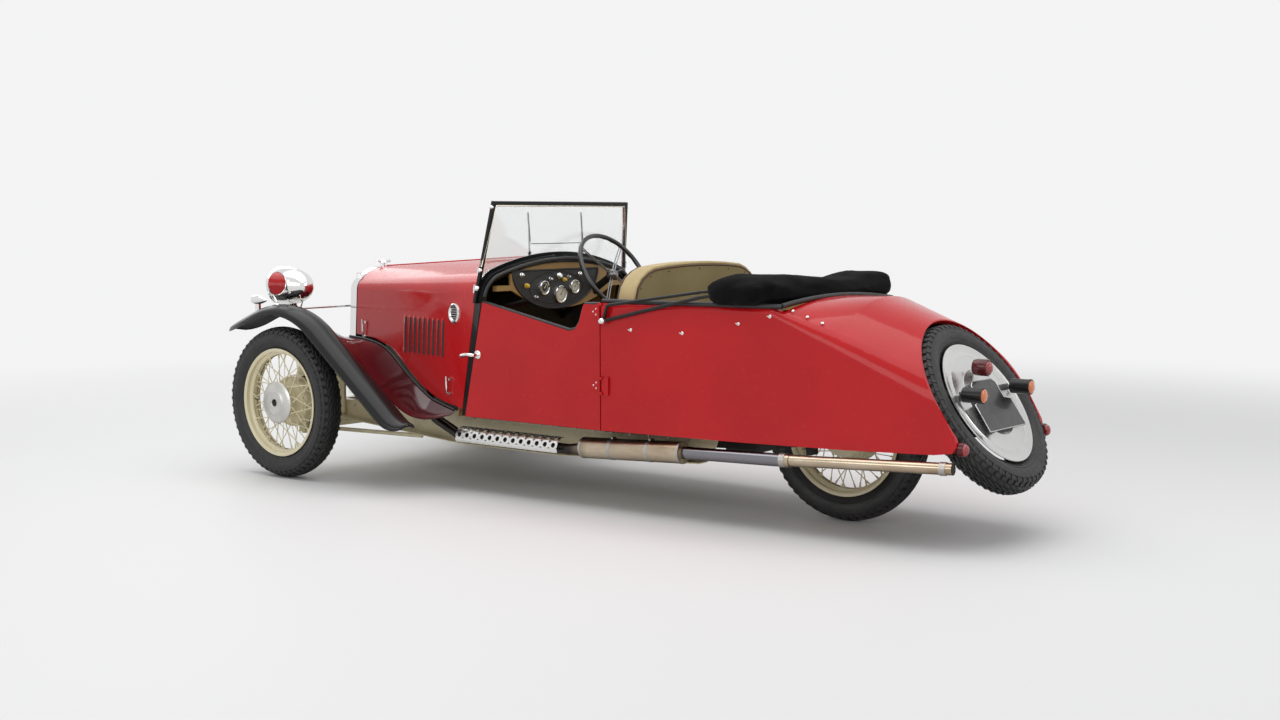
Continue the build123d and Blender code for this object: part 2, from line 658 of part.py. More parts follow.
# --- radiator -------------------------------------------------------------------------------
shell_front, shell_rear, shell_wall, shell_bottom = -64.0, -24.0, 22.0, 330.0
cap_station, cap_radius = (shell_front + shell_rear) / 2, 20.0
cap_seat_z = BONNET_SECTIONS[0][-1] - 2
shell_row = (shell_front,) + BONNET_SECTIONS[0][1:]
with BuildPart() as radiator_shell:
    extrude(hull_section(shell_row, 0, shell_bottom), amount=shell_front - shell_rear)
    extrude(hull_section(shell_row, shell_wall, shell_bottom + 60), amount=shell_front - shell_rear, mode=Mode.SUBTRACT)
    with Locations((back(cap_station), 150, shell_bottom - 5), (back(cap_station), -150, shell_bottom - 5)):
        Box(30, 40, 13.4)
    with BuildSketch(Plane.XY.offset(cap_seat_z)):
        with Locations((back(cap_station), 0)):
            Circle(cap_radius - 6)
    extrude(amount=16)
    with BuildSketch(Plane.XY.offset(cap_seat_z + 15)):
        with Locations((back(cap_station), 0)):
            Circle(cap_radius)
    extrude(amount=12, taper=12)
finish(radiator_shell.part, "radiator_shell")
core_row = (shell_front + 8,) + BONNET_SECTIONS[0][1:]
with BuildPart() as radiator_core:
    extrude(hull_section(core_row, shell_wall + 0.3, shell_bottom + 60.3), amount=shell_front - shell_rear + 12)
finish(radiator_core.part, "radiator_core")

# The steering wheel's plane: its normal points up and back along the column.
wheel_centre = Vector(back(1197), -215, 905)
column_tilt = 33.0
column_axis = Vector(-cos(radians(column_tilt)), 0, sin(radians(column_tilt)))
steering_plane = Plane(origin=wheel_centre, x_dir=(0, -1, 0), z_dir=column_axis)
steering_ring_radius, ring_section = 192.0, 11.0
column_radius, column_end = 16.0, -330.0

# --- floor, bulkheads, seat pan and rear wheel arch ---------------------------------------------
floor_half_width = body_half_width - panel_wall - 8
floor_top = rail_top_z + 12
firewall_front, firewall_rear = 884.0, 892.0
seat_pan_z, heel_station, pan_rear, seat_bulkhead = 520.0, wheelbase - 635, wheelbase - 319, wheelbase - 211
arch_radius, arch_half_width, arch_skin = 372.0, 82.0, 3.0
arch_centre = Vector(back(wheelbase), wheel_z)
ARCH_ANGLES = (radians(29.5), radians(89.75), radians(150))
with BuildPart() as rear_floor:
    with Locations((back((tub_front + heel_station) / 2), 0, rail_top_z + 6)):
        Box(heel_station - tub_front, 2 * body_half_width, 12)
    with Locations((back(heel_station - 5), 0, (rail_top_z + seat_pan_z) / 2)):
        Box(10, 2 * body_half_width, seat_pan_z - rail_top_z)
    with Locations((back((heel_station + pan_rear) / 2), 0, seat_pan_z - 5)):
        Box(pan_rear - heel_station, 2 * body_half_width, 10)
    with Locations((back(seat_bulkhead), 0, 735)):
        Box(8, 2 * body_half_width, 120)
    add(hull(TUB_SECTIONS, panel_wall + 0.3, hull_bottom), mode=Mode.INTERSECT)
toe_rear = 952.0
seat_half_width = body_half_width - 45
cushion_station, cushion_half_width = 1500.0, seat_half_width - 5
with BuildPart() as toe_board:
    with Locations((back((firewall_rear + toe_rear) / 2), 0, rail_top_z + 6)):
        Box(toe_rear - firewall_rear, 2 * body_half_width, 12)
    add(hull(BONNET_SECTIONS, hoop_wall + 0.4, 270), mode=Mode.INTERSECT)
with BuildPart() as floor_pan:
    add(rear_floor.part)
    add(toe_board.part)
    with Locations((back((toe_rear + tub_front) / 2), 0, rail_top_z + 6)):
        Box(tub_front - toe_rear, 2 * floor_half_width, 12)
    with Locations((back(cushion_station), 0, 385)):
        Box(400, 2 * cushion_half_width, 110)
    with BuildSketch(side_plane(arch_half_width)):
        with BuildLine():
            outer = [arch_centre + Vector(cos(a), sin(a)) * (arch_radius + arch_skin) for a in ARCH_ANGLES]
            inner = [arch_centre + Vector(cos(a), sin(a)) * arch_radius for a in reversed(ARCH_ANGLES)]
            ThreePointArc(*outer)
            Line(outer[2], inner[0])
            ThreePointArc(*inner)
            Line(inner[2], outer[0])
        make_face()
    extrude(amount=2 * arch_half_width)
finish(floor_pan.part, "floor_pan")
with BuildPart() as firewall:
    with BuildSketch(station_plane(firewall_front)):
        Rectangle(1200, 1500)
    extrude(amount=-(firewall_rear - firewall_front))
    add(hull(BONNET_SECTIONS, bonnet_skin + 6, rail_top_z), mode=Mode.INTERSECT)
    with BuildSketch(steering_plane):
        Circle(column_radius + 0.3)
    extrude(amount=-600, mode=Mode.SUBTRACT)
finish(firewall.part, "firewall")

# --- seats ------------------------------------------------------------------------------------
seat_rear, seat_back_thick, seat_top = 1816.0, 96.0, 972.0
seat_foot = floor_top + 0.3
with BuildPart() as front_seat:
    with BuildSketch(station_plane(seat_rear)) as seat_shape:
        with BuildLine():
            half, mid, end = seat_half_width, seat_half_width - 38, seat_half_width - 135
            Polyline([(-half, 800), (-half, seat_foot), (half, seat_foot), (half, 800)])
            ThreePointArc((half, 800), (mid, 905), (end, 958))
            ThreePointArc((end, 958), (0, seat_top), (-end, 958))
            ThreePointArc((-end, 958), (-mid, 905), (-half, 800))
        make_face()
    extrude(amount=seat_back_thick)
    with Locations((back(cushion_station), 0, 499.3)):
        Box(396, 2 * cushion_half_width, 118)
finish(front_seat.part, "front_seat")
with BuildPart() as rear_seat:
    with Locations((back(wheelbase - 475), 0, 561.3)):
        Box(290, 2 * (body_half_width - 85), 82)
    with Locations((back(seat_bulkhead - 48.3), 0, 723)):
        Box(88, 2 * (body_half_width - 90), 154)
finish(rear_seat.part, "rear_seat")

# --- dash, instruments, column, wheel and controls ----------------------------------------------
dash_station, dash_half = 1089.0, body_half_width - 140
with BuildPart() as dashboard:
    with BuildSketch(station_plane(dash_station)):
        with BuildLine():
            Line((-dash_half, 850), (-dash_half, 915))
            ThreePointArc((-dash_half, 915), (0, 955), (dash_half, 915))
            Line((dash_half, 915), (dash_half, 850))
            ThreePointArc((dash_half, 850), (0, 761), (-dash_half, 850))
        make_face()
    extrude(amount=10)
    with BuildSketch(station_plane(dash_station)):
        with Locations((-dash_half - 36, 856), (dash_half + 36, 856)):
            Rectangle(92, 22)
    extrude(amount=24)
    with BuildSketch(steering_plane.offset(-30)):
        Circle(column_radius + 6)
    extrude(amount=column_end, mode=Mode.SUBTRACT)
finish(dashboard.part, "dashboard")
# Columns: across (to the left), Z, radius, depth.
DIALS = [(20, 835, 40, 8), (120, 855, 32, 8), (-80, 860, 34, 8), (-150, 850, 14, 12), (75, 880, 12, 14), (180, 880, 10, 14)]
with BuildPart() as instruments:
    for y, z, radius, depth in DIALS:
        with BuildSketch(station_plane(dash_station)):
            with Locations((y, z)):
                Circle(radius)
        extrude(amount=-depth)
finish(instruments.part, "instruments")

with BuildPart() as steering_wheel:
    with BuildSketch(Plane(wheel_centre, x_dir=steering_plane.x_dir, z_dir=-steering_plane.y_dir)):
        with Locations((steering_ring_radius, 0)):
            Circle(ring_section)
    revolve(axis=Axis(wheel_centre, column_axis))
    with BuildSketch(steering_plane.offset(-30)):
        Circle(24)
    extrude(amount=30)
    with BuildSketch(steering_plane.offset(-12)):
        for turn in range(4):
            with Locations(Rot(0, 0, 45 + 90 * turn) * Pos(steering_ring_radius / 2, 0)):
                Rectangle(steering_ring_radius - 8, 16)
    extrude(amount=6)
finish(steering_wheel.part, "steering_wheel")
with BuildPart() as steering_column:
    with BuildSketch(steering_plane.offset(-31)):
        Circle(column_radius)
    extrude(amount=column_end)
finish(steering_column.part, "steering_column")

# --- windscreen and wipers -----------------------------------------------------------------------
screen_foot = (1027.0, 798.0)
screen_top = (1091.0, 1214.0)
screen_foot_y, screen_top_y = body_half_width + 14, body_half_width - 37
screen_tilt = degrees(atan2(screen_top[0] - screen_foot[0], screen_top[1] - screen_foot[1]))
screen_plane = Plane(
    origin=(back(screen_foot[0]), 0, screen_foot[1]), x_dir=(0, 1, 0),
    z_dir=(cos(radians(screen_tilt)), 0, sin(radians(screen_tilt))))
screen_height = hypot(screen_top[0] - screen_foot[0], screen_top[1] - screen_foot[1])


def screen_plate(inset, thickness):
    # A flat trapezium whose lower edge follows the cowl's arch.
    foot, head = screen_foot_y - inset, screen_top_y - inset
    with BuildPart() as plate:
        with BuildSketch(screen_plane.offset(-thickness / 2)):
            with BuildLine():
                Polyline(
                    [(-foot, inset), (foot, inset), (head, screen_height - inset), (-head, screen_height - inset)],
                    close=True)
            make_face()
        extrude(amount=thickness)
        add(hull(BONNET_SECTIONS, -screen_seat_gap - inset, hull_bottom), mode=Mode.SUBTRACT)
    return plate.part


screen_bar, glass_thickness, screen_seat_gap = 14.0, 6.0, 0.3
with BuildPart() as windscreen_frame:
    add(screen_plate(0, screen_bar))
    add(screen_plate(screen_bar, screen_bar + 2), mode=Mode.SUBTRACT)
finish(windscreen_frame.part, "windscreen_frame")
finish(screen_plate(screen_bar + 0.3, glass_thickness), "windscreen_glass")
# Two arms, their blades and the tie rod in front of the glass.
wiper_y, wiper_foot, wiper_tip, tie_height, wiper_thickness = 170.0, 200.0, 372.0, 240.0, 3.0
with BuildPart() as wipers:
    with BuildSketch(screen_plane.offset(screen_bar / 2 + 0.3)):
        for y in (-wiper_y, wiper_y):
            with Locations((y, (wiper_foot + wiper_tip) / 2)):
                Rectangle(6, wiper_tip - wiper_foot)
        with Locations((0, tie_height)):
            Rectangle(2 * wiper_y, 5)
        with Locations((-wiper_y, wiper_foot), (wiper_y, wiper_foot)):
            Circle(8)
    extrude(amount=wiper_thickness)
finish(wipers.part, "wipers")

# --- wings and valances -----------------------------------------------------------------------------
# Crown points in side view: station, Z, and which way the tangent to the crown arc turns.
wing_front, wing_rear, wing_flare = (-367.0, 655.0), (700.0, 336.0), (90.0, -36.0)


def tangent_point(end, sign):
    # Where the straight run from an end of the wing meets the arc about the wheel's centre.
    across, up = -end[0], end[1] - wheel_z
    turn = atan2(up, across) + sign * acos(wing_crown_radius / hypot(across, up))
    return turn


def crown_point(turn):
    return (back(0) + wing_crown_radius * cos(turn), wing_y, wheel_z + wing_crown_radius * sin(turn))


turn_front, turn_rear = tangent_point(wing_front, 1), tangent_point(wing_rear, -1)
tip = Vector(back(wing_front[0]), wing_y, wing_front[1])
heel = Vector(back(wing_rear[0]), wing_y, wing_rear[1])
flare_end = Vector(back(wing_rear[0] + wing_flare[0]), wing_y, wing_rear[1] + wing_flare[1])
with BuildLine() as wing_path:
    Line(tip, crown_point(turn_front))
    ThreePointArc(crown_point(turn_front), crown_point((turn_front + turn_rear) / 2), crown_point(turn_rear))
    Line(crown_point(turn_rear), heel)
    TangentArc(heel, flare_end, tangent=heel - Vector(crown_point(turn_rear)))
tip_plane = Plane(origin=tip, x_dir=(0, 1, 0), z_dir=Vector(crown_point(turn_front)) - tip)
crown_sign = 1 if tip_plane.y_dir.Z > 0 else -1
with BuildPart() as wing:
    with BuildSketch(tip_plane):
        edge, thick = -crown_sign * wing_rise, crown_sign * wing_skin
        with BuildLine():
            ThreePointArc((-wing_half_width, edge), (0, 0), (wing_half_width, edge))
            Line((wing_half_width, edge), (wing_half_width, edge - thick))
            ThreePointArc((wing_half_width, edge - thick), (0, -thick), (-wing_half_width, edge - thick))
            Line((-wing_half_width, edge - thick), (-wing_half_width, edge))
        make_face()
    sweep(path=wing_path.line)
finish_pair(wing.part, "wing")

with BuildPart() as valances:
    for side in (1, -1):
        for first, second in zip(VALANCE, VALANCE[1:]):
            with BuildPart(mode=Mode.PRIVATE) as strip:
                for station, wing_side_z, clearance, bonnet_z in (first, second):
                    bonnet_y = bonnet_half(station, bonnet_z) + clearance
                    with BuildSketch(station_plane(station)):
                        with BuildLine():
                            Polyline(
                                [(side * valance_y, wing_side_z), (side * bonnet_y, bonnet_z),
                                 (side * bonnet_y, bonnet_z - valance_skin),
                                 (side * valance_y, wing_side_z - valance_skin)], close=True)
                        make_face()
                loft(ruled=True)
            add(strip.part)
finish(valances.part, "valances")

# --- lamps and mirrors at the front --------------------------------------------------------------------
lamp_station, lamp_y, lamp_z, lamp_radius, lamp_length = -172.0, 500.0, 841.0, 88.0, 196.0
lamp_bar_z = 738.0
forward_dir = dict(x_dir=(0, 1, 0), z_dir=(1, 0, 0))
with BuildPart() as headlamps:
    for side in (1, -1):
        with BuildSketch(Plane(origin=(back(lamp_station), side * lamp_y, lamp_z), x_dir=(1, 0, 0), z_dir=(0, -1, 0))):
            with BuildLine():
                Line((0, 0), (0, lamp_radius - 8))
                Line((0, lamp_radius - 8), (-6, lamp_radius))
                ThreePointArc((-6, lamp_radius), (-118, 62), (-lamp_length, 0))
                Line((-lamp_length, 0), (0, 0))
            make_face()
        revolve(axis=Axis((back(lamp_station), side * lamp_y, lamp_z), (1, 0, 0)))
        add(rod((back(-97), side * lamp_y, lamp_bar_z), (back(-97), side * lamp_y, lamp_z - 40), 10))
    lamp_bar_reach = wing_y - wing_half_width - 0.3
    add(rod((back(-97), -lamp_bar_reach, lamp_bar_z), (back(-97), lamp_bar_reach, lamp_bar_z), 10))
finish(headlamps.part, "headlamps")
with BuildPart() as headlamp_glasses:
    for side in (1, -1):
        with BuildSketch(Plane(origin=(back(lamp_station - 0.3), side * lamp_y, lamp_z), **forward_dir)):
            Circle(lamp_radius - 9)
        extrude(amount=8, taper=20)
finish(headlamp_glasses.part, "headlamp_glasses")
side_lamp_y, mirror_y = wing_y - 7, wing_y - 4
with BuildPart() as side_lamps:
    for side in (1, -1):
        with BuildSketch(Plane(origin=(back(-215), side * side_lamp_y, 782), x_dir=(1, 0, 0), z_dir=(0, -1, 0))):
            with BuildLine():
                Line((0, 0), (0, 20))
                ThreePointArc((0, 20), (-55, 17), (-95, 0))
                Line((-95, 0), (0, 0))
            make_face()
        revolve(axis=Axis((back(-215), side * side_lamp_y, 782), (1, 0, 0)))
        with Locations((back(-190), side * side_lamp_y, 750)):
            Box(26, 12, 40)
finish(side_lamps.part, "side_lamps")
with BuildPart() as wing_mirrors:
    for side in (1, -1):
        with BuildSketch(Plane(origin=(back(-60), side * mirror_y, 859), **back_plane_dir)):
            Circle(53)
        extrude(amount=10)
        add(rod((back(-54), side * mirror_y, 765.3), (back(-54), side * mirror_y, 812), 5))
finish(wing_mirrors.part, "wing_mirrors")

# --- exhaust ----------------------------------------------------------------------------------------------
pipe_radius, tail_sleeve_radius, silencer_radius = 21.0, 24.0, 42.0
EXHAUST_ROUTE = [(460, 164.5, 436), (585, 320, 382), (700, 408, 300), (885, 417, 228), (1490, 417, 228), (1560, 408, 240)]
silencer_start = Vector(back(1554), 408, 240)
silencer_end = Vector(back(2040), 404, 262)
with BuildPart() as exhaust:
    points = [Vector(back(x), y, z) for x, y, z in EXHAUST_ROUTE]
    with BuildLine() as route:
        FilletPolyline(points, radius=[90, 110, 160, 200])
    with BuildSketch(Plane(origin=points[0], z_dir=points[1] - points[0])):
        Circle(pipe_radius)
    sweep(path=route.line)
    add(rod(silencer_start, silencer_end, silencer_radius))
    add(rod(silencer_end + Vector(5, 0, 0), (back(wheelbase + 5), 400, 275), tail_sleeve_radius))
    add(rod((back(wheelbase - 23), 400, 275), (back(wheelbase + 625), 352, 298), pipe_radius))
finish(exhaust.part, "exhaust")
shield_start, shield_end = 888.0, 1455.0
with BuildPart() as heat_shield:
    with BuildSketch(Plane(origin=(back(shield_start), 417, 228), **forward_dir)):
        with BuildLine():
            ThreePointArc((44, -14), (31, 31), (-14, 44))
            Line((-14, 44), (-14, 41))
            ThreePointArc((-14, 41), (29, 29), (41, -14))
            Line((41, -14), (44, -14))
        make_face()
    extrude(amount=shield_start - shield_end)
    for station in (shield_start + 60, shield_end - 60):
        add(rod((back(station), 417, 228 + pipe_radius + 0.3), (back(station), 417, 228 + 42), 6))
finish(heat_shield.part, "heat_shield")

# --- stowed soft top and its irons ---------------------------------------------------------------------------
hood_front, hood_rear, hood_half_width = wheelbase - 365, deck_station - 10, body_half_width - 15
hood_bottom, hood_top = rail_z + 0.3, 926.0
with BuildPart() as hood_bundle:
    with Locations((back((hood_front + hood_rear) / 2), 0, (hood_bottom + hood_top) / 2)):
        Box(hood_rear - hood_front, 2 * hood_half_width, hood_top - hood_bottom)
    fillet(hood_bundle.edges().filter_by(Axis.Y), 42)
finish(hood_bundle.part, "hood_bundle")
iron_radius, iron_low_z, iron_high_z = 7.0, 751.0, 812.0
iron_y, iron_inner_y = body_half_width + 14.5, hood_half_width - 9
iron_end = hood_front - 1
with BuildPart() as hood_irons:
    for side in (1, -1):
        pivot = (back(hinge_station + 26), side * iron_y, iron_low_z)
        bend = (back(hinge_station + 48), side * (iron_y - 0.4), iron_high_z)
        add(rod(pivot, (back(iron_end), side * iron_inner_y, 852), iron_radius))
        add(rod(pivot, bend, iron_radius - 1))
        add(rod(bend, (back(iron_end), side * (iron_inner_y - 6), 872), iron_radius - 1))
finish(hood_irons.part, "hood_irons")

# --- foot pedals and levers --------------------------------------------------------------------------------------
with BuildPart() as pedals_and_levers:
    for y in (-130, -215, -300):
        add(rod((back(firewall_rear + 3), y, 430), (back(975), y, 400), 6))
        with Locations((back(976), y, 405)):
            Box(8, 60, 74)
    add(rod((back(1040), 0, floor_top + 3), (back(1170), 0, 640), 7))
    add(rod((back(1210), -24, floor_top + 3), (back(1290), -24, 600), 9))
finish(pedals_and_levers.part, "pedals_and_levers")
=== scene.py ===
from math import acos, atan2, cos, pi, radians, sin, sqrt
import bmesh
import bpy
from mathutils import Matrix, Quaternion, Vector, noise


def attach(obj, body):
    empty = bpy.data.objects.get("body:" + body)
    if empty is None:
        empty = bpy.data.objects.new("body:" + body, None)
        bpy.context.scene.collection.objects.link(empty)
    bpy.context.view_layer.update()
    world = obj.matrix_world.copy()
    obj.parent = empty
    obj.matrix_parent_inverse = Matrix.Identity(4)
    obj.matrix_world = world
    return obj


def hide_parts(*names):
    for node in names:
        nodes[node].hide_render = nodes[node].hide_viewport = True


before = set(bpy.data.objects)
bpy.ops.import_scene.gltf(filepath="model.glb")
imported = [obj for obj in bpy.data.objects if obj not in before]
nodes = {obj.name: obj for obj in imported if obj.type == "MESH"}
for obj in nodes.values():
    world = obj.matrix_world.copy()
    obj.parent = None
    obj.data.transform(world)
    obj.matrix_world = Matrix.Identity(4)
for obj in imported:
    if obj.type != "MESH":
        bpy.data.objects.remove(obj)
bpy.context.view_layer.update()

# ---------------------------------------------------------------------------
# Chassis: two pressed Z-section side rails joined by tubes, brush-painted
# cream. The propeller shaft runs along its middle in a black tube.
# ---------------------------------------------------------------------------


class Wire:
    """One shader socket that can stand in a sum."""

    def __init__(self, finish, socket):
        self.finish, self.socket = finish, socket

    def __add__(self, other):
        return self.finish.sum("ADD", self, other)

    def __sub__(self, other):
        return self.finish.sum("SUBTRACT", self, other)

    def __mul__(self, other):
        return self.finish.sum("MULTIPLY", self, other)

    def __lt__(self, other):
        return self.finish.sum("LESS_THAN", self, other)

    def __gt__(self, other):
        return self.finish.sum("GREATER_THAN", self, other)


class Finish:
    """A paint, metal, glass or cloth: one material built from shader sums; its slot argument is kept but not used."""

    def __init__(self, name, slot=None, **sockets):
        self.slot = slot
        self.material = bpy.data.materials.new(name)
        self.material.use_nodes = True
        self.tree = self.material.node_tree
        self.tree.nodes.clear()
        self.shader = self.tree.nodes.new("ShaderNodeBsdfPrincipled")
        self.output = self.tree.nodes.new("ShaderNodeOutputMaterial")
        self.tree.links.new(self.shader.outputs[0], self.output.inputs[0])
        self.surface(**sockets)

    def add(self, kind, settings=None, inputs=None, out=0):
        made = self.tree.nodes.new(kind)
        for key, value in (settings or {}).items():
            setattr(made, key, value)
        for key, value in (inputs or {}).items():
            self.feed(made.inputs[key], value)
        return Wire(self, made.outputs[out])

    def feed(self, socket, value):
        if isinstance(value, Wire):
            self.tree.links.new(value.socket, socket)
        elif isinstance(value, tuple) and len(value) == 3 and socket.type == "RGBA":
            socket.default_value = (*value, 1.0)
        else:
            socket.default_value = value

    def sum(self, operation, first, second):
        return self.add("ShaderNodeMath", {"operation": operation}, {0: first, 1: second})

    def surface(self, **sockets):
        for name, value in sockets.items():
            self.feed(self.shader.inputs[name.replace("_", " ")], value)
        return self

    def place(self, scale=(1, 1, 1), centre=(0, 0, 0)):
        spot = self.add("ShaderNodeTexCoord", out=3)
        moved = self.add("ShaderNodeVectorMath", {"operation": "SUBTRACT"}, {0: spot, 1: centre})
        return self.add("ShaderNodeMapping", None, {"Vector": moved, "Scale": scale})

    def part(self, axis, vector=None):
        """One coordinate of a vector, or of the place on the piece."""
        return self.add("ShaderNodeSeparateXYZ", None, {0: vector or self.place()}, out=axis)

    def speckle(self, scale, detail=3.0, where=None):
        where = where or self.place()
        return self.add("ShaderNodeTexNoise", None, {"Vector": where, "Scale": scale, "Detail": detail})

    def cells(self, scale, where=None):
        where = where or self.place()
        return self.add("ShaderNodeTexVoronoi", {"feature": "DISTANCE_TO_EDGE"}, {"Vector": where, "Scale": scale})

    def threads(self, direction, scale, kind="BANDS", centre=(0, 0, 0)):
        settings = {"wave_type": kind, kind.lower() + "_direction": direction}
        return self.add("ShaderNodeTexWave", settings, {"Vector": self.place(centre=centre), "Scale": scale})

    def ramp(self, value, low, high, bottom=0.0, top=1.0):
        return self.add("ShaderNodeMapRange", None, {0: value, 1: low, 2: high, 3: bottom, 4: top})

    def mix(self, factor, first, second):
        return self.add("ShaderNodeMix", {"data_type": "RGBA"}, {0: factor, 6: first, 7: second}, out=2)

    def bump(self, height, distance):
        return self.add("ShaderNodeBump", None, {"Height": height, "Distance": distance, "Strength": 1.0})

    def patchy(self, first, second, scale, detail=3.0, low=0.35, high=0.7):
        """Two shades in patches."""
        return self.mix(self.ramp(self.speckle(scale, detail), low, high), first, second)

    def rough(self, bottom, top, scale, detail=3.0, low=0.3, high=0.7):
        """A roughness that wanders between two values."""
        return self.ramp(self.speckle(scale, detail), low, high, bottom, top)

    def grain(self, scale, distance, detail=3.0):
        return self.bump(self.speckle(scale, detail), distance)


def enamel(name, slot, colour, shade, gloss=0.22, coat=1.0, orange_peel=0.00006, coat_blur=0.05):
    """Sprayed coach enamel: slow drift of shade, faint orange peel, a clear coat."""
    made = Finish(name, slot)
    return made.surface(
        Base_Color=made.patchy(colour, shade, 3.0, 4.0, 0.35, 0.65),
        Roughness=made.rough(gloss - 0.05, gloss + 0.06, 38.0, 5.0, 0.3, 0.75),
        Coat_Weight=coat, Coat_Roughness=coat_blur, Specular_IOR_Level=0.08,
        Normal=made.grain(70.0, orange_peel, 1.0))


def dress(finish, *names):
    for name in names:
        for slot in nodes[name].material_slots:
            slot.material = finish.material


cream_enamel = enamel("cream_enamel", None, (0.72, 0.645, 0.43), (0.64, 0.565, 0.36), 0.34, 0.35, 0.00015)
grime = cream_enamel.ramp(cream_enamel.speckle(11.0, 6.0), 0.52, 0.72, 0.0, 0.55)
cream_enamel.surface(Base_Color=cream_enamel.mix(grime, (0.72, 0.65, 0.44), (0.42, 0.36, 0.24)))
black_enamel = enamel("black_enamel", "wing_black", (0.0055, 0.0055, 0.006), (0.010, 0.010, 0.0105), 0.36, 0.4,
                      coat_blur=0.2)
dress(cream_enamel, "chassis_frame", "front_axle", "rear_fork", "track_rod", "knuckle_left", "knuckle_right")
FRONT_AXLE_X = 1.445
AHEAD, AFT, LEFT, UP = Vector((1, 0, 0)), Vector((-1, 0, 0)), Vector((0, 1, 0)), Vector((0, 0, 1))
SIDES = ((1, "left"), (-1, "right"))


def back(station):
    """X of a place that lies so many metres behind the front axle."""
    return FRONT_AXLE_X - station


def at(station, y, z):
    """A place: metres behind the front axle, to the car's left, and up."""
    return Vector((back(station), y, z))


def go(x, y, z):
    """A move: metres ahead, to the left, and up."""
    return Vector((x, y, z))


def circle(count, first=0.0):
    """Angles round a full turn."""
    return [first + 2 * pi * i / count for i in range(count)]


def linked(name, data):
    made = bpy.data.objects.new(name, data)
    bpy.context.scene.collection.objects.link(made)
    return made


class Stock:
    """Raw stock for one piece: bars, boxes and turned forms gathered in one mesh."""

    def __init__(self):
        self.mesh = bmesh.new()

    def box(self, low, high):
        low, high = Vector(low), Vector(high)
        corners = bmesh.ops.create_cube(self.mesh, size=1.0)["verts"]
        shape = Matrix.LocRotScale((low + high) / 2, None, high - low)
        bmesh.ops.transform(self.mesh, matrix=shape, verts=corners)
        return self

    def loops(self, rows, closed=True, capped=False):
        """Skins a list of equal rows of points."""
        made = [[self.mesh.verts.new(point) for point in row] for row in rows]
        count = len(made[0])
        for lower, upper in zip(made, made[1:]):
            for i in range(count if closed else count - 1):
                k = (i + 1) % count
                self.mesh.faces.new([lower[i], lower[k], upper[k], upper[i]])
        if capped:
            self.mesh.faces.new(list(reversed(made[0])))
            self.mesh.faces.new(made[-1])
        return self

    def turned(self, profile, centre, axis, sides=48):
        """Turns (radius, along) points about an axis; a profile clear of the axis closes on itself."""
        axis = Vector(axis).normalized()
        across = axis.orthogonal().normalized()
        rows = [[Vector(centre) + axis * along + (Quaternion(axis, turn) @ across) * max(radius, 1e-5)
                 for turn in circle(sides)] for radius, along in profile]
        if profile[0][0] and profile[-1][0]:
            rows.append(rows[0])
        return self.loops(rows)

    def bar(self, points, radius, sides=12):
        """A round bar through points, swept without twist."""
        points = [Vector(p) for p in points]
        radii = radius if isinstance(radius, list) else [radius] * len(points)
        side = (points[1] - points[0]).normalized().orthogonal().normalized()
        rows = []
        for i, point in enumerate(points):
            along = (points[min(i + 1, len(points) - 1)] - points[max(i - 1, 0)]).normalized()
            side = (side - along * side.dot(along)).normalized()
            up = along.cross(side)
            rows.append([point + (side * cos(turn) + up * sin(turn)) * radii[i] for turn in circle(sides)])
        return self.loops(rows, capped=True)

    def piece(self, name, finish, body="car", crease=35.0, round_edge=0.0, stand_in_for=()):
        bmesh.ops.remove_doubles(self.mesh, verts=self.mesh.verts, dist=1e-6)
        bmesh.ops.recalc_face_normals(self.mesh, faces=self.mesh.faces)
        data = bpy.data.meshes.new(name)
        self.mesh.to_mesh(data)
        self.mesh.free()
        return fit(linked(name, data), finish, body, crease, round_edge, stand_in_for)


def smooth(made, crease):
    made.data.shade_smooth()
    made.data.set_sharp_from_angle(angle=radians(crease))


def fit(made, finish, body="car", crease=35.0, round_edge=0.0, stand_in_for=()):
    """Gives a made piece its finish, its soft edges and the body that it rides on."""
    made.data.materials.clear()
    made.data.materials.append(finish.material)
    smooth(made, crease)
    if round_edge:
        bevel = made.modifiers.new("rounded edges", "BEVEL")
        bevel.width, bevel.segments, bevel.limit_method = round_edge, 2, "ANGLE"
        bevel.harden_normals = False
    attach(made, body)
    if stand_in_for:
        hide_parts(*stand_in_for)
    return made


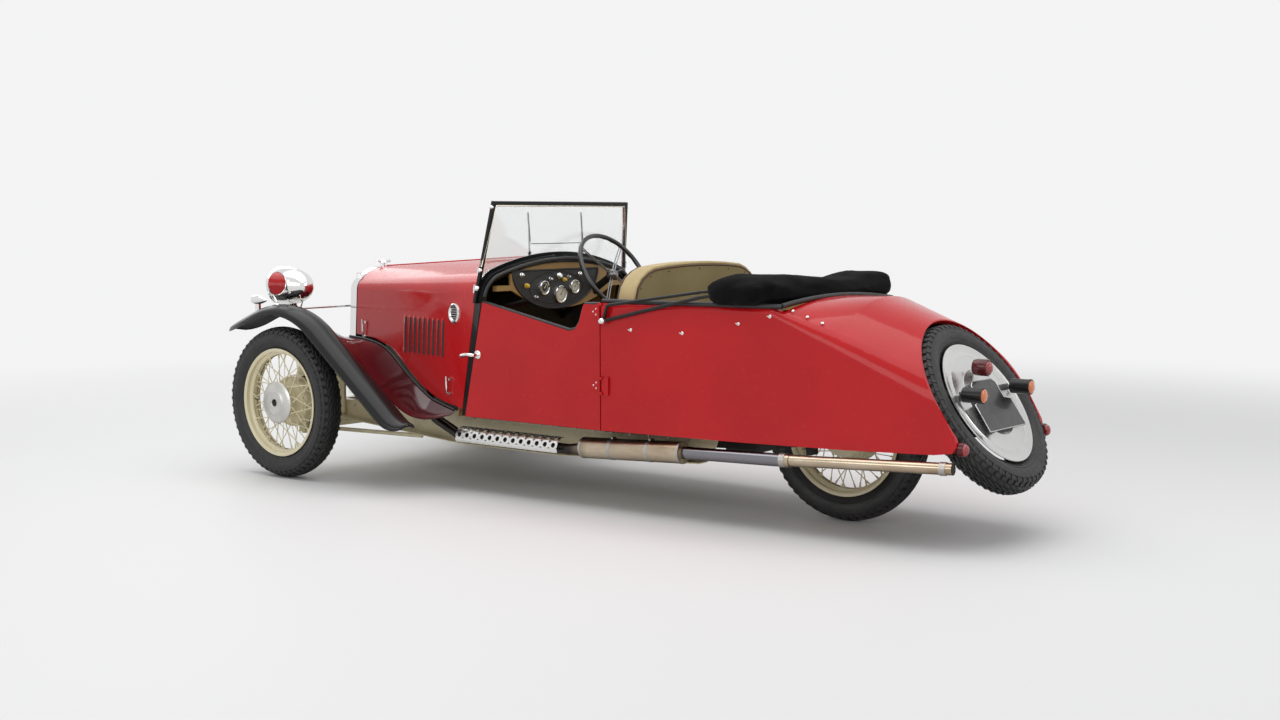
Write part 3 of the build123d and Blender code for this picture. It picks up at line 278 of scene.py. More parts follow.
def repeated(name, stock, finish, count, step=(0, 0, 0), turn=(0, 0, 0), start=(0, 0, 0)):
    """Repeats one small shape count times from a start: each copy is moved by step and turned by turn."""
    bmesh.ops.recalc_face_normals(stock.mesh, faces=stock.mesh.faces)
    seed = linked(name + "_seed", bpy.data.meshes.new(name))
    stock.mesh.to_mesh(seed.data)
    stock.mesh.free()
    tree = bpy.data.node_groups.new(name + "_pattern", "GeometryNodeTree")
    given_values = (("Count", "Int", count), ("Step", "Vector", Vector(step)), ("Turn", "Vector", Vector(turn)),
                    ("Finish", "Material", finish.material))
    tree.interface.new_socket(name="Geometry", in_out="INPUT", socket_type="NodeSocketGeometry")
    sockets = [tree.interface.new_socket(name=label, in_out="INPUT", socket_type="NodeSocket" + kind)
               for label, kind, value in given_values]
    tree.interface.new_socket(name="Geometry", in_out="OUTPUT", socket_type="NodeSocketGeometry")
    given, result, points, index, shift, spin, copies, euler, real, paint = (tree.nodes.new(kind) for kind in (
        "NodeGroupInput", "NodeGroupOutput", "GeometryNodePoints", "GeometryNodeInputIndex", "ShaderNodeVectorMath",
        "ShaderNodeVectorMath", "GeometryNodeInstanceOnPoints", "FunctionNodeEulerToRotation",
        "GeometryNodeRealizeInstances", "GeometryNodeSetMaterial"))
    shift.operation = spin.operation = "SCALE"
    for source, output, target, socket in (
            (given, "Count", points, "Count"), (given, "Step", shift, 0), (index, 0, shift, "Scale"),
            (given, "Turn", spin, 0), (index, 0, spin, "Scale"), (shift, 0, points, "Position"),
            (points, 0, copies, "Points"), (given, "Geometry", copies, "Instance"), (spin, 0, euler, 0),
            (euler, 0, copies, "Rotation"), (copies, 0, real, 0), (real, 0, paint, "Geometry"),
            (given, "Finish", paint, "Material"), (paint, 0, result, 0)):
        tree.links.new(source.outputs[output], target.inputs[socket])
    pattern = seed.modifiers.new("pattern", "NODES")
    pattern.node_group = tree
    for socket, (label, kind, value) in zip(sockets, given_values):
        pattern[socket.identifier] = value
    data = bpy.data.meshes.new_from_object(seed.evaluated_get(bpy.context.evaluated_depsgraph_get()))
    bpy.data.objects.remove(seed)
    data.transform(Matrix.Translation(start))
    data.name = name
    return linked(name, data)


def row_of(name, stock, finish, count, body="car", crease=35.0, **how):
    """A finished piece made of one small shape, repeated."""
    return fit(repeated(name, stock, finish, count, **how), finish, body, crease)


RAIL_Y, BOLT_Z, BOLT_PITCH = 0.310, 0.296, 0.095
steel_bolt = Finish("bright_bolts", "steel", Base_Color=(0.5, 0.48, 0.44), Metallic=1.0, Roughness=0.38)
for side, word in SIDES:
    bolt = Stock().turned([(0, 0.004), (0.006, 0.004), (0.0065, 0), (0.0065, -0.002)], (0, 0, 0), LEFT * side, 6)
    row_of(f"rail_bolts_{word}", bolt, steel_bolt, 22, step=AFT * BOLT_PITCH,
           start=at(0, side * (RAIL_Y + 0.0022), BOLT_Z))

# ---------------------------------------------------------------------------
# Front suspension: coil springs above and below each sliding pillar, and the
# quarter-elliptic leaf springs of the rear wheel, all in black enamel.
# ---------------------------------------------------------------------------
KINGPIN_Y, SLEEVE_BOTTOM, SLEEVE_TOP, LOWER_TUBE_Z, UPPER_TUBE_Z = 0.530, 0.275, 0.395, 0.215, 0.470
COIL_RADIUS, COIL_WIRE, COIL_STEPS, LEAF_Y = 0.0185, 0.0034, 16, 0.148
spring_black = enamel("spring_black", "black_trim", (0.018, 0.018, 0.018), (0.03, 0.028, 0.025), 0.45, 0.2)
coils, leaf_clips = Stock(), Stock()
for side, word in SIDES:
    for low, high, turns in ((SLEEVE_TOP + 0.004, UPPER_TUBE_Z - 0.026, 5),
                             (LOWER_TUBE_Z + 0.026, SLEEVE_BOTTOM - 0.004, 4)):
        steps, winding = turns * COIL_STEPS, []
        for i in range(steps + 1):
            turn = 2 * pi * i / COIL_STEPS
            height = low + (high - low) * i / steps
            winding.append(at(0, side * KINGPIN_Y, height) + go(cos(turn), sin(turn), 0) * COIL_RADIUS)
        coils.bar(winding, COIL_WIRE, 8)
        coils.turned([(0.013, low - 0.003), (0.022, low - 0.003), (0.022, low), (0.013, low)],
                     at(0, side * KINGPIN_Y, 0), UP, 24)
    for station in (2.13, 2.30, 2.45):
        middle = at(station, side * LEAF_Y, 0)
        leaf_clips.box(middle + go(-0.012, -0.0245, 0.2545 + 0.02 * (station - 2.1)),
                       middle + go(0.012, 0.0245, 0.2955 + 0.06 * (station - 2.1)))
coils.piece("pillar_springs", spring_black, stand_in_for=("front_springs",))
leaf_clips.piece("leaf_spring_clips", spring_black, round_edge=0.0015)
dress(spring_black, "rear_springs", "drive_line")

# ---------------------------------------------------------------------------
# Engine, clutch housing, propeller shaft tube and bevel box: bare cast iron
# and black tube, hidden but for the housings under the floor.
# ---------------------------------------------------------------------------
cast_iron = Finish("oily_cast_iron", Metallic=0.6)
cast_grain = cast_iron.speckle(260.0, 6.0)
cast_iron.surface(
    Base_Color=cast_iron.patchy((0.10, 0.105, 0.10), (0.05, 0.045, 0.04), 9.0, low=0.4),
    Roughness=cast_iron.ramp(cast_grain, 0.3, 0.7, 0.42, 0.62), Normal=cast_iron.bump(cast_grain, 0.0004))
dress(cast_iron, "engine_block")

# ---------------------------------------------------------------------------
# Wire wheels: a rolled rim on forty-eight laced spokes, a hub and a drum, all
# cream; the front pair have spun aluminium covers over their hub nuts.
# ---------------------------------------------------------------------------
WHEEL_Z, WHEEL_Y, REAR_STATION = 0.335, 0.635, 2.515
RIM_FLANGE, RIM_WELL, RIM_HALF, BEAD_RADIUS, DRUM_RADIUS = 0.240, 0.212, 0.042, 0.229, 0.112
HUB_OUT, DRUM_IN, COVER_FACE = 0.046, -0.024, 0.065
wheel_enamel = enamel("wheel_enamel", "cream", (0.78, 0.71, 0.50), (0.71, 0.64, 0.43), 0.3, 0.5, 0.0001)
black_rubber = Finish("black_rubber", "black_trim", Base_Color=(0.014, 0.014, 0.015), Roughness=0.6)
black_rubber.surface(Normal=black_rubber.grain(300.0, 0.0002))


def rolled_rim(stock, centre, axis):
    """Rim section: rolled edges, bead seats and a drop centre."""
    outer = [(RIM_FLANGE - 0.001, -RIM_HALF), (RIM_FLANGE, -RIM_HALF + 0.002), (BEAD_RADIUS + 0.003, -RIM_HALF + 0.004),
             (BEAD_RADIUS - 0.0005, -RIM_HALF + 0.008), (BEAD_RADIUS - 0.0005, -0.016), (RIM_WELL + 0.003, -0.009)]
    inner = [(RIM_WELL, 0.012), (RIM_WELL + 0.004, 0.018), (BEAD_RADIUS - 0.004, 0.022),
             (BEAD_RADIUS - 0.004, RIM_HALF - 0.004), (BEAD_RADIUS + 0.001, RIM_HALF), (RIM_FLANGE - 0.001, RIM_HALF)]
    far_side = [(radius, -along) for radius, along in reversed(outer)]
    near_inner = [(radius, -along) for radius, along in reversed(inner)]
    stock.turned(outer + far_side + [inner[-1]] + inner[-2::-1] + near_inner[1:], centre, axis, 96)


def lacing(name, centre, outward, flange_out, hub_radius, rim_out, lean, first):
    """One row of twelve thin spokes that lean round the hub, with their nipples at the rim."""
    # In the seed the wheel's axis is Y; outward is its sense.
    reach = RIM_WELL * 1.004
    foot = go(hub_radius * cos(first), outward * flange_out, hub_radius * sin(first))
    tip = go(reach * cos(first + lean), outward * rim_out, reach * sin(first + lean))
    spoke = Stock().bar([foot, tip], 0.0021, 6).bar([tip, tip + (foot - tip).normalized() * 0.018], 0.0036, 6)
    return repeated(name, spoke, wheel_enamel, 12, turn=(0, 2 * pi / 12, 0), start=centre)


def joined(first, others, crease):
    """Melts plain meshes into the first one."""
    gather = bmesh.new()
    for made in (first, *others):
        gather.from_mesh(made.data)
    gather.to_mesh(first.data)
    gather.free()
    for made in others:
        bpy.data.objects.remove(made)
    smooth(first, crease)


def wire_wheel(name, centre, outward, body, node):
    """outward is +1 where the wheel's outer face looks to the car's left."""
    axis = LEFT * outward
    wheel, drum = Stock(), DRUM_RADIUS
    rolled_rim(wheel, centre, axis)
    for profile in (
            [(0.0142, -0.030), (0.046, -0.030), (0.046, DRUM_IN - 0.001), (drum - 0.020, DRUM_IN - 0.001),
             (drum - 0.016, DRUM_IN + 0.002), (0.050, DRUM_IN + 0.006), (0.044, DRUM_IN + 0.014),
             (0.044, HUB_OUT - 0.014), (0.052, HUB_OUT - 0.007), (0.086, HUB_OUT - 0.004), (0.088, HUB_OUT - 0.001),
             (0.046, HUB_OUT), (0.0142, HUB_OUT)],
            [(drum - 0.004, DRUM_IN - 0.042), (drum, DRUM_IN - 0.042), (drum, DRUM_IN - 0.006),
             (drum - 0.004, DRUM_IN - 0.001), (0.080, DRUM_IN - 0.001), (0.080, DRUM_IN - 0.005),
             (drum - 0.005, DRUM_IN - 0.006)],
            [(drum, DRUM_IN - 0.040), (drum + 0.004, DRUM_IN - 0.040), (drum + 0.004, DRUM_IN - 0.034),
             (drum, DRUM_IN - 0.034)]):
        wheel.turned(profile, centre, axis, 64)
    rim = wheel.piece(name, wheel_enamel, body, stand_in_for=(node,))
    joined(rim, [lacing(f"{name}_spokes_{row}", centre, outward, *spokes, row * pi / 24) for row, spokes in enumerate((
        (HUB_OUT - 0.003, 0.080, 0.008, 0.62), (HUB_OUT - 0.003, 0.080, 0.004, -0.62),
        (DRUM_IN + 0.003, 0.088, -0.008, 0.55), (DRUM_IN + 0.003, 0.088, -0.004, -0.55)))], 40)
    valve = Stock().bar([centre + go(0.20, outward * 0.010, 0), centre + go(0.172, outward * 0.018, 0)], 0.0032, 8)
    valve.bar([centre + go(0.174, outward * 0.0175, 0), centre + go(0.160, outward * 0.022, 0)], 0.0044, 8)
    valve.piece(name + "_valve", black_rubber, body)


wire_wheel("left_wire_wheel", at(0, WHEEL_Y, WHEEL_Z), 1, "front_wheel_left", "wheel_front_left")
wire_wheel("right_wire_wheel", at(0, -WHEEL_Y, WHEEL_Z), -1, "front_wheel_right", "wheel_front_right")
wire_wheel("rear_wire_wheel", at(REAR_STATION, 0, WHEEL_Z), 1, "rear_wheel", "wheel_rear")
spun_aluminium = Finish("spun_aluminium", "aluminium", Metallic=1.0)
spun_aluminium.surface(
    Base_Color=spun_aluminium.patchy((0.62, 0.61, 0.58), (0.50, 0.49, 0.46), 14.0, low=0.4),
    Roughness=spun_aluminium.rough(0.30, 0.44, 900.0, 2.0))
# Near-black for holes and openings: painted shade where they go deep.
dark_recess = Finish("dark_recess", "black_trim", Base_Color=(0.012, 0.011, 0.01), Roughness=0.7)
for side, word in SIDES:
    centre, face, axis, body = at(0, side * WHEEL_Y, WHEEL_Z), COVER_FACE, LEFT * side, f"front_wheel_{word}"
    cover = Stock().turned(
        [(0.0, 0.0525), (0.016, 0.0525), (0.0165, face - 0.002), (0.020, face), (0.050, face - 0.0005),
         (0.055, face - 0.003), (0.060, face - 0.006), (0.080, face - 0.0085), (0.088, face - 0.012),
         (0.0935, face - 0.0175), (0.0935, 0.0466), (0.0900, 0.0466), (0.0, 0.0500)], centre, axis, 72)
    for angle in circle(4, pi / 4):
        spot = centre + go(0.070 * cos(angle), side * (face - 0.0085), 0.070 * sin(angle))
        cover.turned([(0, 0.0025), (0.004, 0.0022), (0.0055, 0)], spot, axis, 12)
    cover.piece(f"hub_cap_{word}", spun_aluminium, body, 25, stand_in_for=(f"hub_cover_{word}",))
    # A near-black disc in the cap's central well: painted shade in the hole.
    Stock().turned([(0, 0.0005), (0.0155, 0.0005), (0.0155, -0.0005)], centre + axis * 0.053, axis, 32).piece(
        f"hub_centre_{word}", dark_recess, body)

# ---------------------------------------------------------------------------
# Tyres: narrow high-pressure covers with a block tread, moulded shoulders and
# thin rings round their walls. The spare has the same cover.
# ---------------------------------------------------------------------------
TYRE_RADIUS, TYRE_HALF, GROOVE, TREAD_COUNT = 0.335, 0.056, 0.006, 58
TREAD_PITCH = 2 * pi / TREAD_COUNT
# Columns: row, inner and outer distance from the mid-plane, skew, share of the pitch, start.
TREAD_ROWS = (("centre", -0.0085, 0.0085, 9.0, 0.62, 0.0), ("mid_left", 0.0115, 0.0270, 6.0, 0.60, 0.5),
              ("mid_right", -0.0270, -0.0115, 6.0, 0.60, 0.5), ("shoulder_left", 0.0300, 0.0440, 0.0, 0.64, 0.0),
              ("shoulder_right", -0.0440, -0.0300, 0.0, 0.64, 0.0))
tyre_rubber = Finish("tyre_rubber", "tyre")
tyre_rubber.surface(
    Base_Color=tyre_rubber.patchy((0.013, 0.013, 0.013), (0.026, 0.025, 0.024), 8.0, 5.0, 0.45, 0.75),
    Roughness=tyre_rubber.rough(0.46, 0.66, 60.0, 4.0), Normal=tyre_rubber.grain(700.0, 0.00025))


def crown_radius_at(across):
    """Radius of the tread's crown at a distance from the tyre's mid-plane."""
    drop, half = 0.013, TYRE_HALF - 0.012
    bend = (half**2 + drop**2) / (2 * drop)
    return TYRE_RADIUS - bend + sqrt(bend**2 - across**2)


def tread_block(low, high, skew, share):
    """A block between two distances from the mid-plane, tapering up from the groove's floor."""
    rows = []
    for lift, shrink in ((-GROOVE - 0.001, 0.0), (-0.0008, 0.0004), (0.0, 0.0014)):
        ring = []
        for across, way in ((low + shrink, -1), (low + shrink, 1), (high - shrink, 1), (high - shrink, -1)):
            angle = way * (TREAD_PITCH * share / 2 - shrink / TYRE_RADIUS) + skew * (across - low)
            radius = crown_radius_at(across) + lift
            ring.append((radius * cos(angle), across, radius * sin(angle)))
        rows.append(ring)
    return Stock().loops(rows, capped=True)


def side_lug(way):
    """A raised bar on one shoulder."""
    rows = []
    for radius, across in ((crown_radius_at(0.0425) - 0.002, 0.0465), (0.3125, 0.0512), (0.3045, 0.0538)):
        rows.append([((radius + lift) * cos(turn), way * (across + lift * 0.6), (radius + lift) * sin(turn))
                     for lift, turn in ((-0.002, -0.018), (0.0008, -0.018), (0.0008, 0.018), (-0.002, 0.018))])
    return Stock().loops(rows, capped=True)


def tyre(name, centre, axis, body, node):
    wall = TYRE_HALF - 0.0004
    profile = [
        (BEAD_RADIUS + 0.0003, 0.026), (BEAD_RADIUS + 0.004, 0.0315), (RIM_FLANGE + 0.0015, 0.034),
        (RIM_FLANGE + 0.010, 0.0435), (RIM_FLANGE + 0.0125, 0.0455), (RIM_FLANGE + 0.0135, 0.0445), (0.262, 0.0500),
        (0.264, 0.0518), (0.2655, 0.0506), (0.276, wall - 0.0005), (0.288, wall), (0.300, wall - 0.002),
        (0.3015, wall - 0.0008), (0.3035, wall - 0.0012), (0.3045, wall - 0.0045), (0.313, 0.0490), (0.318, 0.0460)]
    profile += [(crown_radius_at(across) - GROOVE, across) for across in (0.040, 0.030, 0.015, 0.0)]
    profile += [(radius, -along) for radius, along in reversed(profile[:-1])]
    carcass = Stock().turned(profile, (0, 0, 0), LEFT, 96)
    made = carcass.piece(name, tyre_rubber, body, stand_in_for=(node,))
    rows = [(label, tread_block(low, high, skew, share), start) for label, low, high, skew, share, start in TREAD_ROWS]
    rows += [(f"lugs_{word}", side_lug(way), 0.0) for way, word in SIDES]
    pattern = []
    for label, block, start in rows:
        row = repeated(f"{name}_{label}", block, tyre_rubber, TREAD_COUNT, turn=(0, TREAD_PITCH, 0))
        row.data.transform(Matrix.Rotation(start * TREAD_PITCH, 4, "Y"))
        pattern.append(row)
    joined(made, pattern, 32)
    turned_to = LEFT.rotation_difference(axis).to_matrix().to_4x4()
    made.data.transform(Matrix.Translation(centre) @ turned_to)


tyre("left_tyre", at(0, WHEEL_Y, WHEEL_Z), LEFT, "front_wheel_left", "tyre_front_left")
tyre("right_tyre", at(0, -WHEEL_Y, WHEEL_Z), LEFT, "front_wheel_right", "tyre_front_right")
tyre("rear_tyre", at(REAR_STATION, 0, WHEEL_Z), LEFT, "rear_wheel", "tyre_rear")
SPARE_STATION, SPARE_Z, SPARE_TILT = 3.051, 0.464, radians(33.5)
spare_axis, spare_centre = go(-cos(SPARE_TILT), 0, sin(SPARE_TILT)), at(SPARE_STATION, 0, SPARE_Z)
tyre("spare_cover_tyre", spare_centre, spare_axis, "car", "spare_tyre")

# ---------------------------------------------------------------------------
# Floor, toe board and bulkheads: boards under dark carpet, with the ply
# firewall in front and the seat pan and wheel arch behind.
# ---------------------------------------------------------------------------
carpet = Finish("floor_carpet", Roughness=0.95)
carpet.surface(Base_Color=carpet.patchy((0.030, 0.024, 0.020), (0.055, 0.045, 0.036), 20.0, low=0.4),
               Normal=carpet.grain(900.0, 0.0012, 4.0))
varnished_ply = Finish("varnished_ply", Roughness=0.38, Coat_Weight=0.4)
grain = varnished_ply.speckle(6.0, 6.0, varnished_ply.place(scale=(1, 1, 14)))
varnished_ply.surface(
    Base_Color=varnished_ply.mix(varnished_ply.ramp(grain, 0.35, 0.65), (0.17, 0.075, 0.022), (0.30, 0.15, 0.055)),
    Normal=varnished_ply.bump(grain, 0.0001))
dress(carpet, "floor_pan")
dress(varnished_ply, "firewall")

# ---------------------------------------------------------------------------
# Body tub: steel panels on an ash frame, sprayed red, with tan trim cards
# inside, a black rolled edge round the cockpit and chrome turn-buttons.
# ---------------------------------------------------------------------------
PANEL_WALL, BODY_BOTTOM, RAIL_Z, DECK, ROLL, CARD_LOW = 0.024, 0.325, 0.823, 2.478, 0.0095, 0.345
# Columns: station, outer half width of the straight side.
TUB_HALF = [(0.940, 0.470), (1.690, 0.470), (2.430, 0.405), (2.690, 0.383), (3.160, 0.341)]
RED_COAT = ((0.52, 0.009, 0.012), (0.46, 0.007, 0.010), 0.24, 0.42, 0.00002, 0.08)
red_enamel, tub_red = enamel("red_enamel", "body_red", *RED_COAT), enamel("tub_red", "body_red", *RED_COAT)
# The deck and the tail's slope are beaten into one sweep, so their normals ease across the join.
JOIN_X, SWEEP, HALF_SLOPE = back(2.690), 0.17, 0.19
along, facing = tub_red.part(0), tub_red.add("ShaderNodeNewGeometry", out=1)
aft = tub_red.ramp(along, JOIN_X - SWEEP, JOIN_X, 0.0, HALF_SLOPE) * (along < JOIN_X)
fore = tub_red.ramp(along, JOIN_X, JOIN_X + SWEEP, HALF_SLOPE, 0.0) * (along > JOIN_X)
upward = tub_red.ramp(tub_red.part(2, facing), 0.0, 1.0)
tip = tub_red.add("ShaderNodeCombineXYZ", None, {0: (aft - fore) * upward})
swept = tub_red.add("ShaderNodeVectorMath", {"operation": "ADD"}, {0: facing, 1: tip})
swept = tub_red.add("ShaderNodeVectorMath", {"operation": "NORMALIZE"}, {0: swept})
tub_red.feed(tub_red.shader.inputs["Normal"].links[0].from_node.inputs["Normal"], swept)
chrome = Finish("chrome_plate", "chrome", Base_Color=(0.78, 0.78, 0.77), Metallic=1.0)
chrome.surface(Roughness=chrome.rough(0.05, 0.13, 45.0, 4.0, 0.35, 0.75))
tan_hide = Finish("tan_hide", "tan_leather")
tan_hide.surface(
    Base_Color=tan_hide.patchy((0.56, 0.43, 0.21), (0.46, 0.34, 0.155), 7.0, 5.0),
    Roughness=tan_hide.rough(0.42, 0.56, 30.0, 4.0),
    Normal=tan_hide.bump(tan_hide.ramp(tan_hide.cells(420.0), 0.0, 0.12), 0.00035))
ochre_card = Finish("ochre_trim_card", "tan_leather", Roughness=0.6)
ochre_card.surface(Base_Color=ochre_card.patchy((0.40, 0.25, 0.085), (0.31, 0.185, 0.06), 9.0, 5.0),
                   Normal=ochre_card.grain(520.0, 0.0004, 4.0))
edge_roll = Finish("black_edge_roll", "black_trim", Base_Color=(0.012, 0.012, 0.012))
edge_roll.surface(Roughness=edge_roll.rough(0.4, 0.55, 40.0), Normal=edge_roll.grain(600.0, 0.0003))
dress(tub_red, "body_tub")


def tub_half(station):
    for (s0, y0), (s1, y1) in zip(TUB_HALF, TUB_HALF[1:]):
        if station <= s1:
            return y0 + (y1 - y0) * (station - s0) / (s1 - s0)
    return TUB_HALF[-1][1]


for side, word in SIDES:
    rail = [at(s, side * (tub_half(s) - 0.011), RAIL_Z + 0.003) for s in (1.694, 1.80, 2.00, 2.20, 2.42, 2.475)]
    Stock().bar(rail, ROLL).piece(f"cockpit_roll_{word}", edge_roll)
    stations = [1.694 + 0.0965 * i for i in range(7)]
    strip = [(s, tub_half(s) - PANEL_WALL - 0.0004) for s in stations]
    strip += [(s, tub_half(s) - PANEL_WALL - 0.0045) for s in reversed(stations)]
    Stock().loops([[at(s, side * y, z) for s, y in strip] for z in (CARD_LOW, RAIL_Z - 0.004)], capped=True).piece(
        f"side_card_{word}", ochre_card, round_edge=0.001)
    buttons, out = Stock(), LEFT * side
    for station, z in ((1.830, 0.720), (2.060, 0.716), (2.300, 0.760), (2.430, 0.790)):
        foot = at(station, side * (tub_half(station) - 0.0005), z)
        buttons.turned([(0, 0.0018), (0.0055, 0.0018), (0.0068, 0.0008), (0.0072, 0)], foot, out, 20)
        buttons.bar([foot, foot + out * 0.0065], 0.0018, 8)
        buttons.bar([foot + out * 0.0065 + go(0.0085, 0, 0.0018), foot + out * 0.0068,
                     foot + out * 0.0065 - go(0.0085, 0, 0.0018)], [0.0012, 0.0028, 0.0012], 8)
    buttons.piece(f"turn_buttons_{word}", chrome)
Stock().bar([at(DECK - 0.004, y, RAIL_Z + 0.004 + 0.026 * (1 - (y / 0.40) ** 2)) for y in
             [-0.392 + 0.0784 * i for i in range(11)]], ROLL).piece("deck_edge_roll", edge_roll)

# ---------------------------------------------------------------------------
# Scuttle hoop: the black door post that carries the bonnet's rear edge, the
# padded cowl rim, the dash and the windscreen's feet.
# ---------------------------------------------------------------------------
satin_black = enamel("satin_black", "black_trim", (0.011, 0.011, 0.012), (0.018, 0.018, 0.018), 0.36, 0.35)
dress(satin_black, "scuttle", "steering_column")
# Columns: station, half widths low and high, shoulder height, shoulder radius, crown height.
BONNET_ROWS = [(-0.022, 0.214, 0.186, 0.812, 0.062, 0.921), (1.085, 0.501, 0.478, 0.825, 0.105, 0.988)]
BONNET_FOOT = 0.280


def bonnet_form(station):
    nose, tail = BONNET_ROWS
    share = (station - nose[0]) / (tail[0] - nose[0])
    return [a + (b - a) * share for a, b in zip(nose[1:], tail[1:])]


def cowl_ring(station, inset, low=BODY_BOTTOM):
    """Points up the left side, over the crown and down the right of the bonnet's form, at a station."""
    low_half, high_half, shoulder, radius, crown = bonnet_form(station)
    low_half, high_half, radius, crown = low_half - inset, high_half - inset, radius - inset, crown - inset
    reach, rise = high_half - radius, crown - shoulder
    crown_radius = (reach**2 + rise**2 - radius**2) / (2 * (rise - radius))
    angle = atan2(shoulder - crown + crown_radius, reach)
    half = low_half + (high_half - low_half) * (low - BONNET_FOOT) / (shoulder - BONNET_FOOT)
    left = [at(station, half, low)]
    left += [at(station, reach + radius * cos(angle * i / 6), shoulder + radius * sin(angle * i / 6)) for i in range(7)]
    spread = atan2(reach + radius * cos(angle), shoulder + radius * sin(angle) - crown + crown_radius)
    swings = [spread * (1 - 2 * i / 25) for i in range(1, 25)]
    top = [at(station, crown_radius * sin(swing), crown - crown_radius + crown_radius * cos(swing)) for swing in swings]
    return left + top + [go(p.x, -p.y, p.z) for p in reversed(left)]


def leaned(points, offset):
    """Slides ring points back so that the ring follows the leaning door post."""
    return [at(0.935 + 0.22 * (p.z - 0.315) + offset, p.y, p.z) for p in points]


Stock().bar(leaned([p for p in cowl_ring(1.085, 0.016) if p.z > 0.80], 0.020), 0.0085).piece("cowl_rim_roll", edge_roll)
inner_ring, lining_ring = cowl_ring(1.06, 0.034, low=0.36), cowl_ring(1.02, 0.0325, low=0.36)
Stock().loops([leaned(inner_ring, offset) for offset in (-0.012, 0.008)], closed=False).piece(
    "under_cowl_card", ochre_card)
Stock().loops([cowl_ring(s, 0.0115, low=0.36) for s in (0.893, 0.930)] + [leaned(lining_ring, -0.016)],
              closed=False).piece("scuttle_lining", ochre_card)
# A satin-black board over the top of the firewall: painted shade behind the dash.
board_edge = cowl_ring(0.896, 0.0135, low=0.60)
Stock().loops([board_edge, [p + AHEAD * 0.003 for p in board_edge]], capped=True).piece("upper_bulkhead", satin_black)

# ---------------------------------------------------------------------------
# Doors: front-opening steel skins with a cut-down top edge, black beading,
# tan trim cards and map pockets inside, and a chrome lock handle outside.
# ---------------------------------------------------------------------------
dress(red_enamel, "door_left", "door_right")
DOOR_HALF, DOOR_REAR = 0.470, 1.682
DOOR_TOP = [(1.046, 0.804), (1.180, 0.776), (1.350, 0.741), (1.528, 0.705), (1.561, 0.713), (1.583, 0.741),
            (1.597, 0.786), (1.609, 0.811), (1.686, 0.813)]
for side, word in SIDES:
    body, out = f"{word}_door", LEFT * side
    Stock().bar([at(s, side * (DOOR_HALF - 0.011), z + 0.001) for s, z in DOOR_TOP], 0.0085).piece(
        f"door_roll_{word}", edge_roll, body)
    outline = [(0.972, CARD_LOW), (1.052, 0.775)] + [(s, z - 0.014) for s, z in DOOR_TOP[1:8]]
    outline += [(DOOR_REAR, 0.797), (DOOR_REAR, CARD_LOW)]
    inside = DOOR_HALF - PANEL_WALL
    Stock().loops([[at(s, side * (inside - depth), z) for s, z in outline] for depth in (0.0004, 0.0045)],
                  capped=True).piece(f"door_card_{word}", ochre_card, body)
    flap = [[at(s, side * (inside - 0.005 - bulge * (1 - ((s - 1.33) / 0.25) ** 4)), z)
             for s in [1.08 + 0.05 * i for i in range(11)]]
            for z, bulge in ((0.400, 0.004), (0.402, 0.014), (0.470, 0.020), (0.560, 0.017), (0.562, 0.004))]
    Stock().loops(flap, closed=False).piece(f"map_pocket_{word}", tan_hide, body)
    foot = at(1.030, side * DOOR_HALF, 0.585)
    handle = Stock().turned([(0, 0.0035), (0.014, 0.0035), (0.017, 0.002), (0.018, 0)], foot, out, 28)
    handle.bar([foot, foot + out * 0.026], [0.0075, 0.006], 16)
    handle.bar([foot + out * reach + go(x, 0, z) for reach, x, z in (
        (0.030, -0.012, 0), (0.031, 0, 0), (0.032, 0.030, 0.002), (0.034, 0.058, -0.004), (0.030, 0.070, -0.008))],
        [0.0055, 0.0085, 0.0070, 0.0085, 0.0045], 14)
    handle.piece(f"lock_handle_{word}", chrome, body, 50, stand_in_for=(f"door_handle_{word}",))
    screws = Stock()
    for hinge_z in (0.500, 0.785):
        for station, z in ((1.674, 0.011), (1.674, -0.011), (1.660, 0.0)):
            screws.turned([(0, 0.0012), (0.003, 0.001), (0.0036, 0)],
                          at(station, side * (DOOR_HALF + 0.0064), hinge_z + z), out, 10)
    screws.piece(f"hinge_screws_{word}", chrome, body)

# ---------------------------------------------------------------------------
# Bonnet: two steel halves on a centre piano hinge, with pressed louvres in
# the sides and top, a round chrome vent and over-centre catches.
# ---------------------------------------------------------------------------
dress(red_enamel, "bonnet_left", "bonnet_right")
LOUVRES, LOUVRE_PITCH, LOUVRE_FIRST, LOUVRE_LOW, LOUVRE_HIGH = 9, 0.0399, 0.434, 0.550, 0.722
VENT_STATION, VENT_Z, VENT_PITCH = 0.851, 0.747, 0.0095


def on_bonnet(side, station, z):
    """A place on the bonnet's flat side."""
    low_half, high_half, shoulder = bonnet_form(station)[:3]
    return at(station, side * (low_half + (high_half - low_half) * (z - BONNET_FOOT) / (shoulder - BONNET_FOOT)), z)


